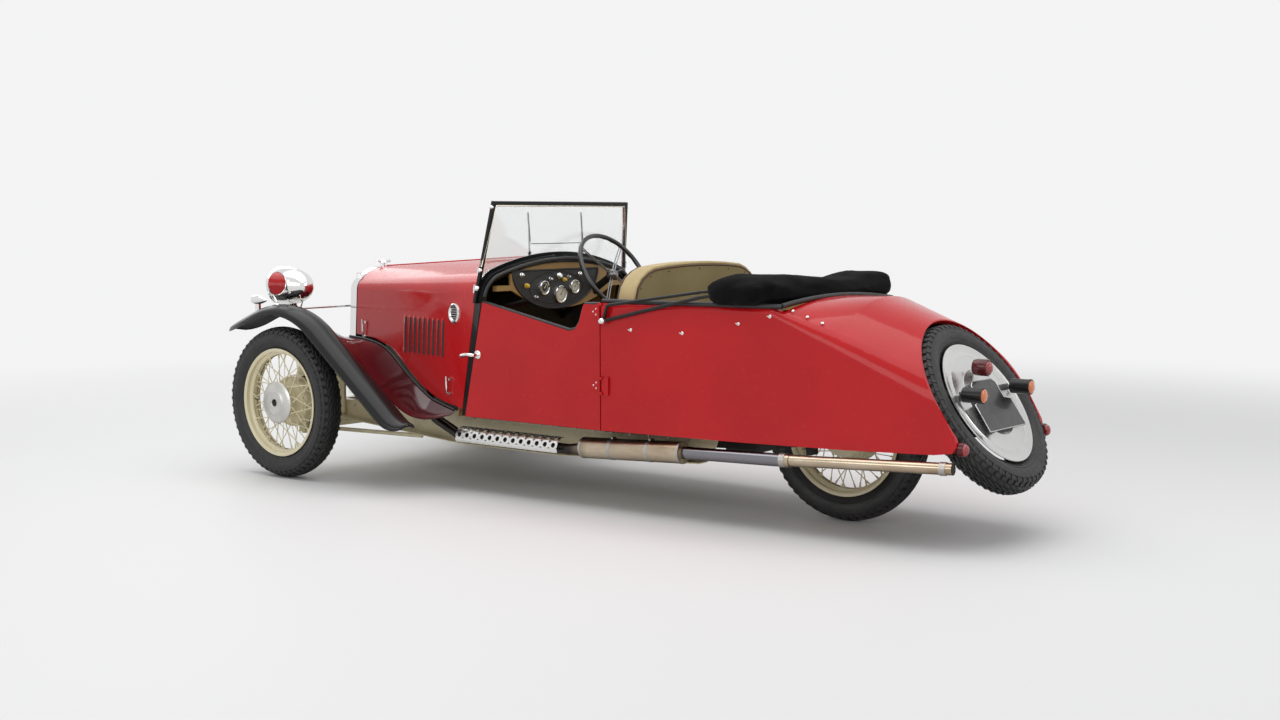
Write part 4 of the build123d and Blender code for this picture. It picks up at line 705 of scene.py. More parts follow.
for side, word in SIDES:
    body, foot = f"{word}_bonnet", on_bonnet(side, LOUVRE_FIRST, LOUVRE_LOW)
    tall = on_bonnet(side, LOUVRE_FIRST, LOUVRE_HIGH) - foot
    run = on_bonnet(side, LOUVRE_FIRST + 1, LOUVRE_LOW) - foot
    aft, up = run.normalized(), tall.normalized()
    out = aft.cross(up).normalized() * side
    row = {"step": run * LOUVRE_PITCH, "start": foot}
    rows = []
    for i in range(13):
        share = i / 12
        swell = min(1.0, 4.5 * share * (1 - share) + 0.05) if 0 < share < 1 else 0.0
        rows.append([tall * share + aft * a + out * (b * swell + 0.0002) for a, b in (
            (-0.0135, 0.0), (-0.006, 0.0035), (0.002, 0.0068), (0.0085, 0.0085), (0.0095, 0.0080), (0.0098, 0.0))])
    row_of(f"louvres_{word}", Stock().loops(rows, closed=False), red_enamel, LOUVRES, body, 40, **row)
    # A near-black strip under each louvre's lip: painted shade in its opening.
    lips = ((0.0099, 0.0001), (0.0099, 0.0066), (0.0165, 0.0003))
    slot = Stock().loops([[up * z + aft * a + out * b for a, b in lips] for z in (0.010, 0.020, 0.150, 0.162)],
                         capped=True)
    row_of(f"louvre_slots_{word}", slot, dark_recess, LOUVRES, body, **row)
    centre = on_bonnet(side, VENT_STATION, VENT_Z)
    vent = Stock().turned([(0.026, 0.0), (0.026, 0.004), (0.030, 0.0085), (0.037, 0.009), (0.0425, 0.006), (0.044, 0.0),
                           (0.044, -0.001), (0.026, -0.001)], centre, out)
    for k in range(-2, 3):
        reach = sqrt(0.0275**2 - (k * VENT_PITCH) ** 2)
        middle = centre + up * (k * VENT_PITCH) + out * 0.0035
        vent.bar([middle - aft * reach, middle + aft * reach], 0.0018, 8)
    vent.piece(f"bonnet_vent_{word}", chrome, body, 30)
    # A near-black disc behind the vent's bars: painted shade in the opening.
    Stock().turned([(0, 0.0012), (0.027, 0.0012), (0.027, 0.0)], centre, out, 32).piece(
        f"vent_mesh_{word}", dark_recess, body)
    catches = Stock()
    for station, z, long in ((0.062, 0.640, 0.075), (0.815, 0.440, 0.070)):
        base = on_bonnet(side, station, z) + out * 0.001
        catches.bar([base + up * long * share + out * reach for share, reach in (
            (0.5, 0.004), (0.55, 0.014), (0.2, 0.013), (-0.35, 0.010), (-0.5, 0.003))],
            [0.003, 0.0038, 0.0042, 0.005, 0.0036], 10)
        for across, share, low, high, thick in ((0.018, 0.4, 0.002, 0.009, 0.007), (0.016, -0.45, 0.001, 0.007, 0.006)):
            spot = base + aft * across + up * long * share
            catches.bar([spot + out * low, spot + out * high], thick)
    catches.piece(f"bonnet_catches_{word}", chrome, body)
    rows = [[go(a, side * (0.075 * share - 0.0375), b * 4 * share * (1 - share)) for a, b in (
        (0.009, 0.0), (0.003, 0.0035), (-0.004, 0.0055), (-0.0055, 0.0048), (-0.0058, 0.0))]
        for share in [i / 8 for i in range(9)]]
    half_ring = [p for p in cowl_ring(0.80, 0.0) if p.y * side > 0]
    seat = min(half_ring, key=lambda p: abs(abs(p.y) - 0.175))
    nearby = min((p for p in half_ring if p is not seat), key=lambda p: (p - seat).length)
    tilt = atan2(abs(nearby.z - seat.z), abs(nearby.y - seat.y)) * -side
    tilted = Matrix.Rotation(tilt, 4, "X")
    louvre = Stock().loops([[tilted @ point for point in row] for row in rows], closed=False)
    row_of(f"top_louvres_{word}", louvre, red_enamel, 5, body, 40, step=tilted @ go(-0.032, 0.0, 0.0019),
           start=seat + UP * 0.0004)
rings = [cowl_ring(s, 0.0) for s in (-0.018, 0.2, 0.5, 0.8, 1.02)]
Stock().bar([go(ring[0].x, 0, ring[len(ring) // 2].z + 0.0012) for ring in rings], 0.0042, 10).piece(
    "bonnet_hinge", red_enamel)

# ---------------------------------------------------------------------------
# Radiator: a chromed shell with a rounded top, a honeycomb core behind fine
# upright slats, and a winged filler cap of a plain pattern.
# ---------------------------------------------------------------------------
core_metal = Finish("radiator_core_metal", Metallic=0.6, Roughness=0.5)
honeycomb = core_metal.cells(150.0, core_metal.place(scale=(0.2, 1, 1)))
# The honeycomb's cell walls stay grey and the cells between them are near black: painted shade in the open cells.
core_metal.surface(
    Base_Color=core_metal.mix(core_metal.ramp(honeycomb, 0.02, 0.12), (0.10, 0.10, 0.10), (0.008, 0.008, 0.008)),
    Normal=core_metal.bump(core_metal.ramp(honeycomb, 0.0, 0.15), 0.002))
dress(chrome, "radiator_shell")
dress(core_metal, "radiator_core")
SLAT_HALF, SLATS = 0.150, 31
row_of("radiator_slats", Stock().box((-0.004, -0.0012, 0.0), (0.004, 0.0012, 0.50)), chrome, SLATS,
       step=LEFT * (2 * SLAT_HALF / (SLATS - 1)), start=at(-0.0585, -SLAT_HALF, 0.393))
cap = at(-0.044, 0, 0.934)
filler = Stock().turned([(0, 0.0185), (0.006, 0.0180), (0.009, 0.0145), (0.0175, 0.0135), (0.0205, 0.009),
                         (0.0205, 0.0005), (0, 0.0005)], cap, UP, 36)
for way, word in SIDES:
    filler.bar([cap + go(0, way * y, z) for y, z in ((0.018, 0.008), (0.038, 0.010), (0.045, 0.011))],
               [0.006, 0.0075, 0.004])
filler.piece("filler_cap_top", chrome, crease=40)
Stock().turned([(0, 0.004), (0.014, 0.0035), (0.019, 0.0015), (0.020, 0)], at(-0.0642, 0, 0.885), AHEAD, 32).piece(
    "blank_shell_boss", chrome, crease=40)

# ---------------------------------------------------------------------------
# Windscreen: a flat pane in a black steel frame that leans back a little,
# with chrome wing nuts at its feet and a pair of linked wipers.
# ---------------------------------------------------------------------------
glass = Finish("screen_glass", Base_Color=(0.93, 0.97, 0.955), Roughness=0.02, Transmission_Weight=1.0, IOR=1.45,
               Alpha=0.30, Specular_IOR_Level=0.6)
dress(black_enamel, "windscreen_frame")
dress(glass, "windscreen_glass")
SCREEN_FOOT, SCREEN_TOP, FOOT_Y, TOP_Y = (1.027, 0.798), (1.091, 1.214), 0.484, 0.433
GLASS_FOOT, WIPER_Y, WIPER_UP = 0.15, 0.170, 0.200
screen_up = go(SCREEN_FOOT[0] - SCREEN_TOP[0], 0, SCREEN_TOP[1] - SCREEN_FOOT[1])
screen_height = screen_up.length
screen_up = screen_up.normalized()
screen_out = go(screen_up.z, 0, -screen_up.x)


def on_screen(y, up, out=0.0):
    """A place on the windscreen, measured up its slope and out in front of its middle plane."""
    return at(SCREEN_FOOT[0], y, SCREEN_FOOT[1]) + screen_up * up + screen_out * out


def round_glass(name, finish, inset, top, offset, radius, sides, crease=35.0):
    """A thin strip up one side of the glass, over its top and down the other, on both faces."""
    strip = Stock()
    for face in (offset, -offset):
        strip.bar([on_screen(y, up, face) for y, up in (
            (inset - FOOT_Y, GLASS_FOOT), (inset - TOP_Y, screen_height - top), (TOP_Y - inset, screen_height - top),
            (FOOT_Y - inset, GLASS_FOOT))], radius, sides)
    strip.piece(name, finish, crease=crease)


fittings = Stock()
for side, word in SIDES:
    for up, big in ((0.060, 1.0), (0.135, 0.8), (0.395, 0.7)):
        spot = on_screen(side * (FOOT_Y + (TOP_Y - FOOT_Y) * up / screen_height + 0.001), up)
        fittings.turned([(0, 0.013 * big), (0.006 * big, 0.013 * big), (0.010 * big, 0.006 * big), (0.013 * big, 0.001),
                         (0.013 * big, -0.004)], spot, LEFT * side, 20)
        if big > 0.75:
            fittings.bar([spot + LEFT * (side * y * big) + screen_up * (z * big)
                          for y, z in ((0.013, 0.017), (0.011, 0), (0.013, -0.017))],
                         [0.0035 * big, 0.0050 * big, 0.0035 * big], 10)
fittings.piece("screen_wing_nuts", chrome, crease=40)
nickel = Finish("dull_nickel", "chrome", Base_Color=(0.66, 0.61, 0.50), Metallic=1.0)
nickel.surface(Roughness=nickel.rough(0.2, 0.34, 60.0))
round_glass("glass_seal", black_rubber, 0.016, 0.0155, 0.0038, 0.0016, 6)
round_glass("glazing_bead", nickel, 0.0185, 0.018, 0.0045, 0.0034, 8, 60)
wiper_black = enamel("wiper_black", "black_trim", (0.02, 0.02, 0.02), (0.03, 0.03, 0.03), 0.35, 0.3)
wipers, half_blade = Stock(), screen_up * 0.062 + LEFT * 0.016
for y in (-WIPER_Y, WIPER_Y):
    pivot = on_screen(y, WIPER_UP, 0.0085)
    tip = pivot + screen_up * 0.112 + LEFT * 0.022
    wipers.bar([pivot, tip], [0.0026, 0.0018], 8)
    wipers.turned([(0, 0.0030), (0.006, 0.0026), (0.009, 0.0012), (0.009, -0.0002)], on_screen(y, WIPER_UP, 0.0075),
                  screen_out, 20)
    for offset, thick in ((0.0, 0.0022), (-0.0038, 0.0014)):
        wipers.bar([tip - half_blade + screen_out * offset, tip + half_blade + screen_out * offset], thick, 6)
wipers.bar([on_screen(-WIPER_Y, 0.240, 0.0086), on_screen(WIPER_Y, 0.240, 0.0086)], 0.0018, 8)
wipers.piece("wiper_arms", wiper_black, stand_in_for=("wipers",))

# ---------------------------------------------------------------------------
# Dash: an ochre board with a D-shaped black crackle panel, round dials with
# chrome bezels and plain ticks, turn switches and bright knobs.
# ---------------------------------------------------------------------------
DASH_STATION, PANEL_MID, PANEL_TOP, PANEL_HALF, PANEL_DROP = 1.089, 0.045, 0.925, 0.275, 0.164
crackle = Finish("black_crackle", Roughness=0.42)
across, drop = (crackle.part(axis, crackle.place(centre=(0, PANEL_MID, PANEL_TOP))) for axis in (1, 2))
bowl = across * across * (1 / PANEL_HALF**2) + drop * drop * (1 / PANEL_DROP**2)
panel = crackle.ramp(bowl, 0.995, 1.01, 1.0, 0.0) * crackle.ramp(drop, -0.0005, 0.0005, 1.0, 0.0)
crackle.surface(Base_Color=crackle.mix(panel, (0.34, 0.20, 0.065), (0.014, 0.014, 0.015)),
                Normal=crackle.bump(crackle.ramp(crackle.cells(260.0), 0.0, 0.2), 0.0003))
dress(crackle, "dashboard")
bead = [at(DASH_STATION + 0.001, PANEL_MID + PANEL_HALF * cos(a), PANEL_TOP - PANEL_DROP * sin(a))
        for a in [pi * i / 40 for i in range(41)]]
bead += [bead[-1].lerp(bead[0], i / 8) for i in range(1, 9)]
Stock().bar(bead, 0.0042, 8).piece("dash_bead", edge_roll, crease=60)
oval = [at(DASH_STATION + 0.0004, 0.043 + 0.172 * cos(a), 0.8475 + 0.0675 * sin(a)) for a in circle(64) + [2 * pi]]
Stock().bar(oval, 0.0012, 6).piece("dash_oval_line", satin_black, crease=60)
dial_face = Finish("dial_face", "dial", Base_Color=(0.62, 0.60, 0.52), Roughness=0.4)
dark_dial = Finish("dark_dial_face", "dial", Base_Color=(0.015, 0.015, 0.015), Roughness=0.35)
dark_tick = Finish("tick_paint", "dial", Base_Color=(0.03, 0.03, 0.03), Roughness=0.5)
pale_tick = Finish("pale_tick_paint", "dial", Base_Color=(0.75, 0.73, 0.65), Roughness=0.5)
yellow_knob = Finish("yellow_knob", "amber", Base_Color=(0.72, 0.46, 0.03), Roughness=0.3, Coat_Weight=0.5)
# Columns: across (to the left), height, radius, face, ticks.
DIALS = [(0.022, 0.819, 0.036, dial_face, dark_tick), (0.126, 0.850, 0.029, dark_dial, pale_tick),
         (-0.070, 0.848, 0.029, dial_face, dark_tick)]
bezels, caps = Stock(), Stock()
for i, (y, z, radius, face, ink) in enumerate(DIALS):
    spot = at(DASH_STATION, y, z)
    bezels.turned([(radius - 0.0045, 0.0078), (radius - 0.002, 0.0100), (radius + 0.001, 0.0090),
                   (radius + 0.003, 0.0002), (radius - 0.0045, 0.0002)], spot, AFT)
    Stock().turned([(0, 0.0055), (radius - 0.004, 0.0055), (radius - 0.004, 0.0005)], spot, AFT, 40).piece(
        f"dial_{i}", face)
    tick = Stock().box((-0.0003, -0.0006, radius - 0.0135), (0.0003, 0.0006, radius - 0.0065))
    row_of(f"dial_ticks_{i}", tick, ink, 24, turn=(2 * pi / 24, 0, 0), start=spot + AFT * 0.0057)
    hub = spot + AFT * 0.0068
    needle = Stock().bar([hub, hub + go(0, -0.6, 0.8) * (radius - 0.010)], [0.0011, 0.0004], 6)
    needle.turned([(0, 0.0075), (0.0026, 0.0072), (0.003, 0.0055)], spot, AFT, 14).piece(f"dial_needle_{i}", ink)
for stock, y, z, radius in (
        (bezels, 0.267, 0.908, 0.0100), (bezels, 0.030, 0.899, 0.0135), (bezels, 0.088, 0.887, 0.0085),
        (caps, 0.235, 0.862, 0.0110), (caps, -0.004, 0.881, 0.0095), (bezels, -0.105, 0.903, 0.0100),
        (bezels, 0.180, 0.812, 0.0080), (bezels, -0.030, 0.893, 0.0070)):
    stock.turned([(0, 0.017), (radius * 0.55, 0.0165), (radius * 0.8, 0.013), (radius * 0.7, 0.006), (radius, 0.0045),
                  (radius, 0.0002)], at(DASH_STATION, y, z), AFT, 24)
caps.piece("yellow_knobs", yellow_knob, crease=40)
bezels.piece("dial_bezels", chrome, crease=40, stand_in_for=("instruments",))

# ---------------------------------------------------------------------------
# Steering wheel: a black moulded rim on four flat sprung spokes, with a
# bright boss that carries two small control levers.
# ---------------------------------------------------------------------------
HELM, COLUMN_TILT, RING_RADIUS, GRIP = at(1.197, -0.215, 0.905), radians(33), 0.192, 0.0102
column_axis = go(-cos(COLUMN_TILT), 0, sin(COLUMN_TILT))
helm_right, helm_up = -LEFT, column_axis.cross(-LEFT)
moulded_black = Finish("moulded_black", "black_trim", Base_Color=(0.012, 0.012, 0.012), Roughness=0.28, Coat_Weight=0.3)
lobes = []
for angle in circle(96):
    outward = helm_right * cos(angle) + helm_up * sin(angle)
    ring = []
    for turn in circle(14):
        thick = GRIP + (0.0008 * cos(angle * 24) if sin(turn) < 0 else 0.0)
        ring.append(HELM + outward * (RING_RADIUS + thick * cos(turn)) + column_axis * (thick * sin(turn)))
    lobes.append(ring)
Stock().loops(lobes + lobes[:1]).piece("steering_rim", moulded_black, "steering_hand_wheel", 60,
                                       stand_in_for=("steering_wheel",))
spring_steel = Finish("spring_steel", "chrome", Base_Color=(0.20, 0.20, 0.20), Metallic=1.0)
spring_steel.surface(Roughness=spring_steel.rough(0.2, 0.34, 60.0))
spokes = Stock()
for angle in circle(4, pi / 4):
    outward = helm_right * cos(angle) + helm_up * sin(angle)
    for gap in (-0.0055, 0.0055):
        near = HELM + outward.cross(column_axis) * gap
        spokes.bar([near + outward * reach - column_axis * dip for reach, dip in (
            (0.018, 0.012), (0.095, 0.010), (RING_RADIUS - 0.004, 0.001))], 0.0028, 8)
spokes.turned([(0, 0.010), (0.012, 0.009), (0.019, 0.004), (0.024, -0.006), (0.024, -0.026), (0.016, -0.030),
               (0, -0.030)], HELM, column_axis, 36)
for way, word in SIDES:
    lever = [HELM + column_axis * rise + helm_right * (way * across) + helm_up * up for rise, across, up in (
        (0.006, 0, 0), (0.013, 0.055, 0.01), (0.013, 0.052, 0.0095), (0.013, 0.066, 0.012))]
    spokes.bar(lever[:2], [0.0028, 0.0022], 8).bar(lever[2:], [0.0048, 0.0040], 10)
spokes.piece("steering_spokes", spring_steel, "steering_hand_wheel", 40)
pedal_steel = Finish("worn_steel", "steel", Base_Color=(0.42, 0.40, 0.37), Metallic=1.0)
pedal_steel.surface(Roughness=pedal_steel.rough(0.3, 0.5, 80.0, 4.0))
dress(pedal_steel, "pedals_and_levers")
knobs = Stock()
for spot in (at(1.170, 0.0, 0.650), at(1.290, -0.024, 0.610)):
    knobs.turned([(0, 0.018), (0.010, 0.015), (0.0165, 0.005), (0.0165, -0.005), (0.010, -0.014), (0, -0.017)],
                 spot, UP, 24)
knobs.piece("lever_knobs", moulded_black, crease=50)

# ---------------------------------------------------------------------------
# Seats: sprung cushions in tan hide with sewn upright channels and brown
# piping; the bench back has a drab cloth panel tacked to its rear.
# ---------------------------------------------------------------------------
brown_piping = Finish("brown_piping", "tan_leather", Base_Color=(0.075, 0.030, 0.014), Roughness=0.5)
drab_cloth = Finish("drab_backing_cloth", "tan_leather", Roughness=0.85)
weave = drab_cloth.threads("Y", 420.0) * 0.5 + drab_cloth.threads("Z", 420.0) * 0.5
drab_cloth.surface(Base_Color=drab_cloth.patchy((0.285, 0.225, 0.105), (0.235, 0.180, 0.080), 6.0, 5.0),
                   Normal=drab_cloth.bump(weave, 0.0003))


CHANNEL_PITCH, HIDE_FILL, CLOTH_FILL, STUFFING_FRAMES, COVER_STIFFNESS = 0.069, 0.75, 0.45, 16, 22


def stuffed(made, voxel, pressure, cap):
    """Fills a cover with stuffing: remeshed, blown up a little as cloth, and held within a few millimetres."""
    shape = linked(made.name + "_cover", made.data.copy())
    even = shape.modifiers.new("even", "REMESH")
    even.mode, even.voxel_size = "VOXEL", voxel
    cover = bpy.data.meshes.new_from_object(shape.evaluated_get(bpy.context.evaluated_depsgraph_get()))
    shape.modifiers.clear()
    shape.data = cover
    rest = [v.co.copy() for v in cover.vertices]
    cloth = shape.modifiers.new("stuffing", "CLOTH")
    cloth.settings.quality = 4
    cloth.settings.use_pressure = True
    cloth.settings.uniform_pressure_force = pressure
    cloth.settings.tension_stiffness = cloth.settings.compression_stiffness = COVER_STIFFNESS
    cloth.settings.effector_weights.gravity = 0
    cloth.point_cache.frame_start, cloth.point_cache.frame_end = 1, STUFFING_FRAMES
    for step in range(1, STUFFING_FRAMES + 1):
        bpy.context.scene.frame_set(step)
    cover = bpy.data.meshes.new_from_object(shape.evaluated_get(bpy.context.evaluated_depsgraph_get()))
    bpy.context.scene.frame_set(1)
    for vert, home in zip(cover.vertices, rest):
        moved = vert.co - home
        if moved.length > cap:
            vert.co = home + moved.normalized() * cap
    made.data = cover
    bpy.data.objects.remove(shape)
    eased = bmesh.new()
    eased.from_mesh(cover)
    for _ in range(2):
        bmesh.ops.smooth_vert(eased, verts=eased.verts, factor=0.5, use_axis_x=True, use_axis_y=True, use_axis_z=True)
    eased.to_mesh(cover)
    eased.free()
    return made


def channelled(made, depth, facing, reach):
    """Sews channels: sinks the verts that face one way along lines from front to rear, a pitch apart."""
    normals = [n.vector.copy() for n in made.data.vertex_normals]
    for vert, normal in zip(made.data.vertices, normals):
        looks = normal.dot(facing)
        if looks > 0.35 and reach(vert.co):
            phase = abs(((vert.co.y / CHANNEL_PITCH) % 1.0) - 0.5) * 2
            vert.co -= facing * depth * max(0.0, phase - 0.55) / 0.45 * min(1.0, (looks - 0.35) / 0.3)
    made.data.update()


def sewn_up(made, finish):
    """Finishes a stuffed piece and softens it with one level of subdivision."""
    fit(made, finish, crease=80)
    rounding = made.modifiers.new("soft", "SUBSURF")
    rounding.levels = rounding.render_levels = 1


def cushion(name, low, high, edge, cap, depth, facing, reach, stand_in_for=()):
    block = Stock().box(low, high)
    bmesh.ops.subdivide_edges(block.mesh, edges=block.mesh.edges[:], cuts=3, use_grid_fill=True)
    corners = [e for e in block.mesh.edges if len(e.link_faces) == 2 and e.calc_face_angle() > 1.0]
    bmesh.ops.bevel(block.mesh, geom=corners, offset=edge, segments=3, profile=0.6, affect="EDGES")
    made = stuffed(block.piece(name, tan_hide, crease=80, stand_in_for=stand_in_for), 0.012, 2.5, cap)
    channelled(made, depth, facing, reach)
    return made


SEAT_REAR, SEAT_FOOT, SQUAB_FOOT = 1.816, 0.3305, 0.566
padding = [
    cushion("bench_cushion", (back(1.694), -0.412, 0.4445), (back(1.306), 0.412, 0.548), 0.026, 0.010, 0.009, UP,
            lambda p: abs(p.y) < 0.385 and back(1.668) < p.x < back(1.335)),
    cushion("rear_cushion", (back(2.181), -0.372, 0.524), (back(1.899), 0.372, 0.596), 0.022, 0.008, 0.008, UP,
            lambda p: abs(p.y) < 0.345),
    cushion("rear_squab", (back(2.297), -0.372, 0.650), (back(2.216), 0.372, 0.794), 0.022, 0.008, 0.008, AHEAD,
            lambda p: abs(p.y) < 0.345, ("rear_seat",))]


def back_row(offset, inset, bottom):
    """The bench back's arched outline at one depth, from its left foot over the top to its right foot."""
    half = [(0.425 - inset, bottom), (0.425 - inset, 0.60), (0.425 - inset, 0.80), (0.425 - 0.006 - inset, 0.840),
            (0.405 - inset * 0.95, 0.880 - inset * 0.2), (0.374 - inset * 0.8, 0.917 - inset * 0.5),
            (0.334 - inset * 0.6, 0.942 - inset * 0.8), (0.290 - inset * 0.3, 0.957 - inset * 0.95),
            (0.20, 0.9655 - inset), (0.10, 0.970 - inset), (0.0, 0.9715 - inset)]
    outline = half + [(-y, z) for y, z in reversed(half[:-1])]
    return [at(SEAT_REAR + offset, y, z) for y, z in outline]


Stock().loops([back_row(offset, inset, SEAT_FOOT) for offset, inset in (
    (-0.004, 0.016), (-0.001, 0.008), (-0.005, 0.002), (-0.030, 0.0005), (-0.066, 0.0015), (-0.080, 0.006),
    (-0.088, 0.014))], capped=True).piece("bench_back_shell", tan_hide, crease=50, stand_in_for=("front_seat",))
Stock().loops([back_row(offset, inset, SEAT_FOOT + 0.02) for offset, inset in (
    (-0.0035, 0.019), (0.0005, 0.019), (0.0015, 0.022))], capped=True).piece("bench_back_panel", drab_cloth, crease=50)
pipes, tacks = Stock(), Stock()
for offset, inset in ((-0.0005, 0.0165), (-0.0855, 0.0085)):
    pipes.bar(back_row(offset, inset, SEAT_FOOT + 0.004), 0.0036, 8)
pipes.piece("bench_back_piping", brown_piping, crease=60)
for spot in back_row(0.0014, 0.030, SEAT_FOOT + 0.03)[::2]:
    tacks.turned([(0, 0.0022), (0.0030, 0.0016), (0.0042, 0)], spot, AFT, 10)
tacks.piece("bench_back_tacks", brown_piping)
squab = Stock().loops([back_row(offset, inset, SQUAB_FOOT) for offset, inset in (
    (-0.080, 0.016), (-0.088, 0.018), (-0.100, 0.024), (-0.108, 0.036))], capped=True)
padding.append(stuffed(squab.piece("bench_squab", tan_hide, crease=80), 0.012, 2.0, 0.009))
channelled(padding[-1], 0.009, AHEAD, lambda p: abs(p.y) < 0.37 and p.z < 0.925)
for made in padding:
    sewn_up(made, tan_hide)

# ---------------------------------------------------------------------------
# Stowed soft top: black duck cloth folded over its irons and pulled into one
# long soft roll across the rear deck, with press studs along the deck rail.
# ---------------------------------------------------------------------------
duck_cloth = Finish("black_duck_cloth", "hood_cloth", Roughness=0.95, Specular_IOR_Level=0.08, Sheen_Weight=0.03)
weave = (duck_cloth.threads("Y", 330.0) + duck_cloth.threads("X", 330.0)) * 0.04
folds = duck_cloth.speckle(1.0, 3.0, duck_cloth.place(scale=(16, 4.5, 34)))
duck_cloth.surface(
    Base_Color=duck_cloth.patchy((0.0030, 0.0030, 0.0033), (0.0085, 0.0082, 0.008), 9.0, 6.0, 0.4, 0.75),
    Normal=duck_cloth.bump(weave + folds, 0.009))
dress(satin_black, "hood_irons")
HOOD_HALF, HOOD_LOW = 0.455, 0.8265
# Columns: across, middle station, half length, crown height.
HOOD_FORM = [
    (0.455, 2.285, 0.085, 0.898), (0.435, 2.290, 0.122, 0.921), (0.370, 2.298, 0.140, 0.934),
    (0.230, 2.302, 0.142, 0.932), (0.080, 2.308, 0.136, 0.919), (-0.080, 2.325, 0.130, 0.909),
    (-0.200, 2.338, 0.128, 0.912), (-0.310, 2.348, 0.128, 0.931), (-0.385, 2.350, 0.124, 0.938),
    (-0.430, 2.348, 0.110, 0.928), (-0.455, 2.342, 0.080, 0.900)]
rows = []
for y in [HOOD_HALF - 2 * HOOD_HALF * i / 60 for i in range(61)]:
    for (y0, *first), (y1, *second) in zip(HOOD_FORM, HOOD_FORM[1:]):
        if y0 >= y >= y1:
            share = (y0 - y) / (y0 - y1)
            share = share * share * (3 - 2 * share)
            middle, half, crown = (a + (b - a) * share for a, b in zip(first, second))
    row, height = [], (crown - HOOD_LOW) / 2
    for turn in circle(40):
        cx, cz = cos(turn), sin(turn)
        x = abs(cx) ** 0.62 * (1 if cx > 0 else -1) * half
        z = abs(cz) ** 0.70 * (1 if cz > 0 else -1)
        point = Vector((back(middle) + x, y, HOOD_LOW + height + z * height))
        fold = noise.noise(Vector((point.x * 9, y * 3.2, point.z * 26))) * 0.010
        tuck = 0.006 * sin(18 * point.z * 5 + y * 6) * (1 - abs(cz))
        row.append(point + Vector((cx, 0, max(cz, 0))) * (fold + tuck))
    rows.append(row)
hood = Stock().loops(rows, capped=True).piece("hood_roll", duck_cloth, crease=80, stand_in_for=("hood_bundle",))
stuffed(hood, 0.010, 1.2, 0.007)
for vert in hood.data.vertices:
    x, y, z = vert.co
    ripple = noise.noise(Vector((x * 14, y * 7, z * 40))) * 0.005
    crease = abs(noise.noise(Vector((x * 6 + 9, y * 2.8, z * 20)))) ** 0.5 * 0.009
    if z > HOOD_LOW + 0.004:
        vert.co += go(x - back(2.31), 0, z - 0.875).normalized() * (ripple - crease)
    vert.co.z = max(vert.co.z, HOOD_LOW)
sewn_up(hood, duck_cloth)
iron_ends, studs = Stock(), Stock()
for side, word in SIDES:
    for radius, run in ((0.0066, ((2.140, 0.4468, 0.8499), (2.149, 0.446, 0.852), (2.275, 0.428, 0.872))),
                        (0.0058, ((2.140, 0.4409, 0.8708), (2.149, 0.440, 0.872), (2.275, 0.424, 0.884)))):
        iron_ends.bar([at(station, side * y, z) for station, y, z in run], radius)
    studs.turned([(0, 0.011), (0.008, 0.010), (0.012, 0.005), (0.0135, 0.0), (0.0135, -0.004)],
                 at(1.716, side * 0.4920, 0.751), LEFT * side, 24)
    for station in (2.502, 2.56, 2.62):
        spot = at(station, side * (tub_half(station) - 0.035), 0.812 - (station - 2.5) * 0.34)
        studs.turned([(0, 0.004), (0.005, 0.003), (0.0065, 0.0)], spot, (0, side * 0.5, 1), 14)
iron_ends.piece("hood_iron_ends", satin_black, crease=40)
studs.piece("hood_studs", chrome)

# ---------------------------------------------------------------------------
# Wings and valances: swept black steel wings with wired edges over the front
# wheels, and maroon valances that close the gap to the bonnet.
# ---------------------------------------------------------------------------
maroon_enamel = enamel("maroon_enamel", "maroon", (0.060, 0.004, 0.007), (0.045, 0.003, 0.006), 0.2, 0.6)
WING_RADIUS, WING_Y, WING_HALF, WING_RISE, WING_SKIN, WING_STEPS = 0.433, 0.632, 0.072, 0.044, 0.003, 24
WING_HUB, WING_TIP, WING_HEEL, WING_END = (
    Vector((back(station), z)) for station, z in ((0, WHEEL_Z), (-0.367, 0.655), (0.700, 0.336), (0.790, 0.300)))


def crown_angle(end, sign):
    """Where the straight run from an end of the wing meets the arc about the wheel's hub."""
    away = end - WING_HUB
    return atan2(away.y, away.x) + sign * acos(WING_RADIUS / away.length)


def round_hub(angle):
    return WING_HUB + Vector((cos(angle), sin(angle))) * WING_RADIUS


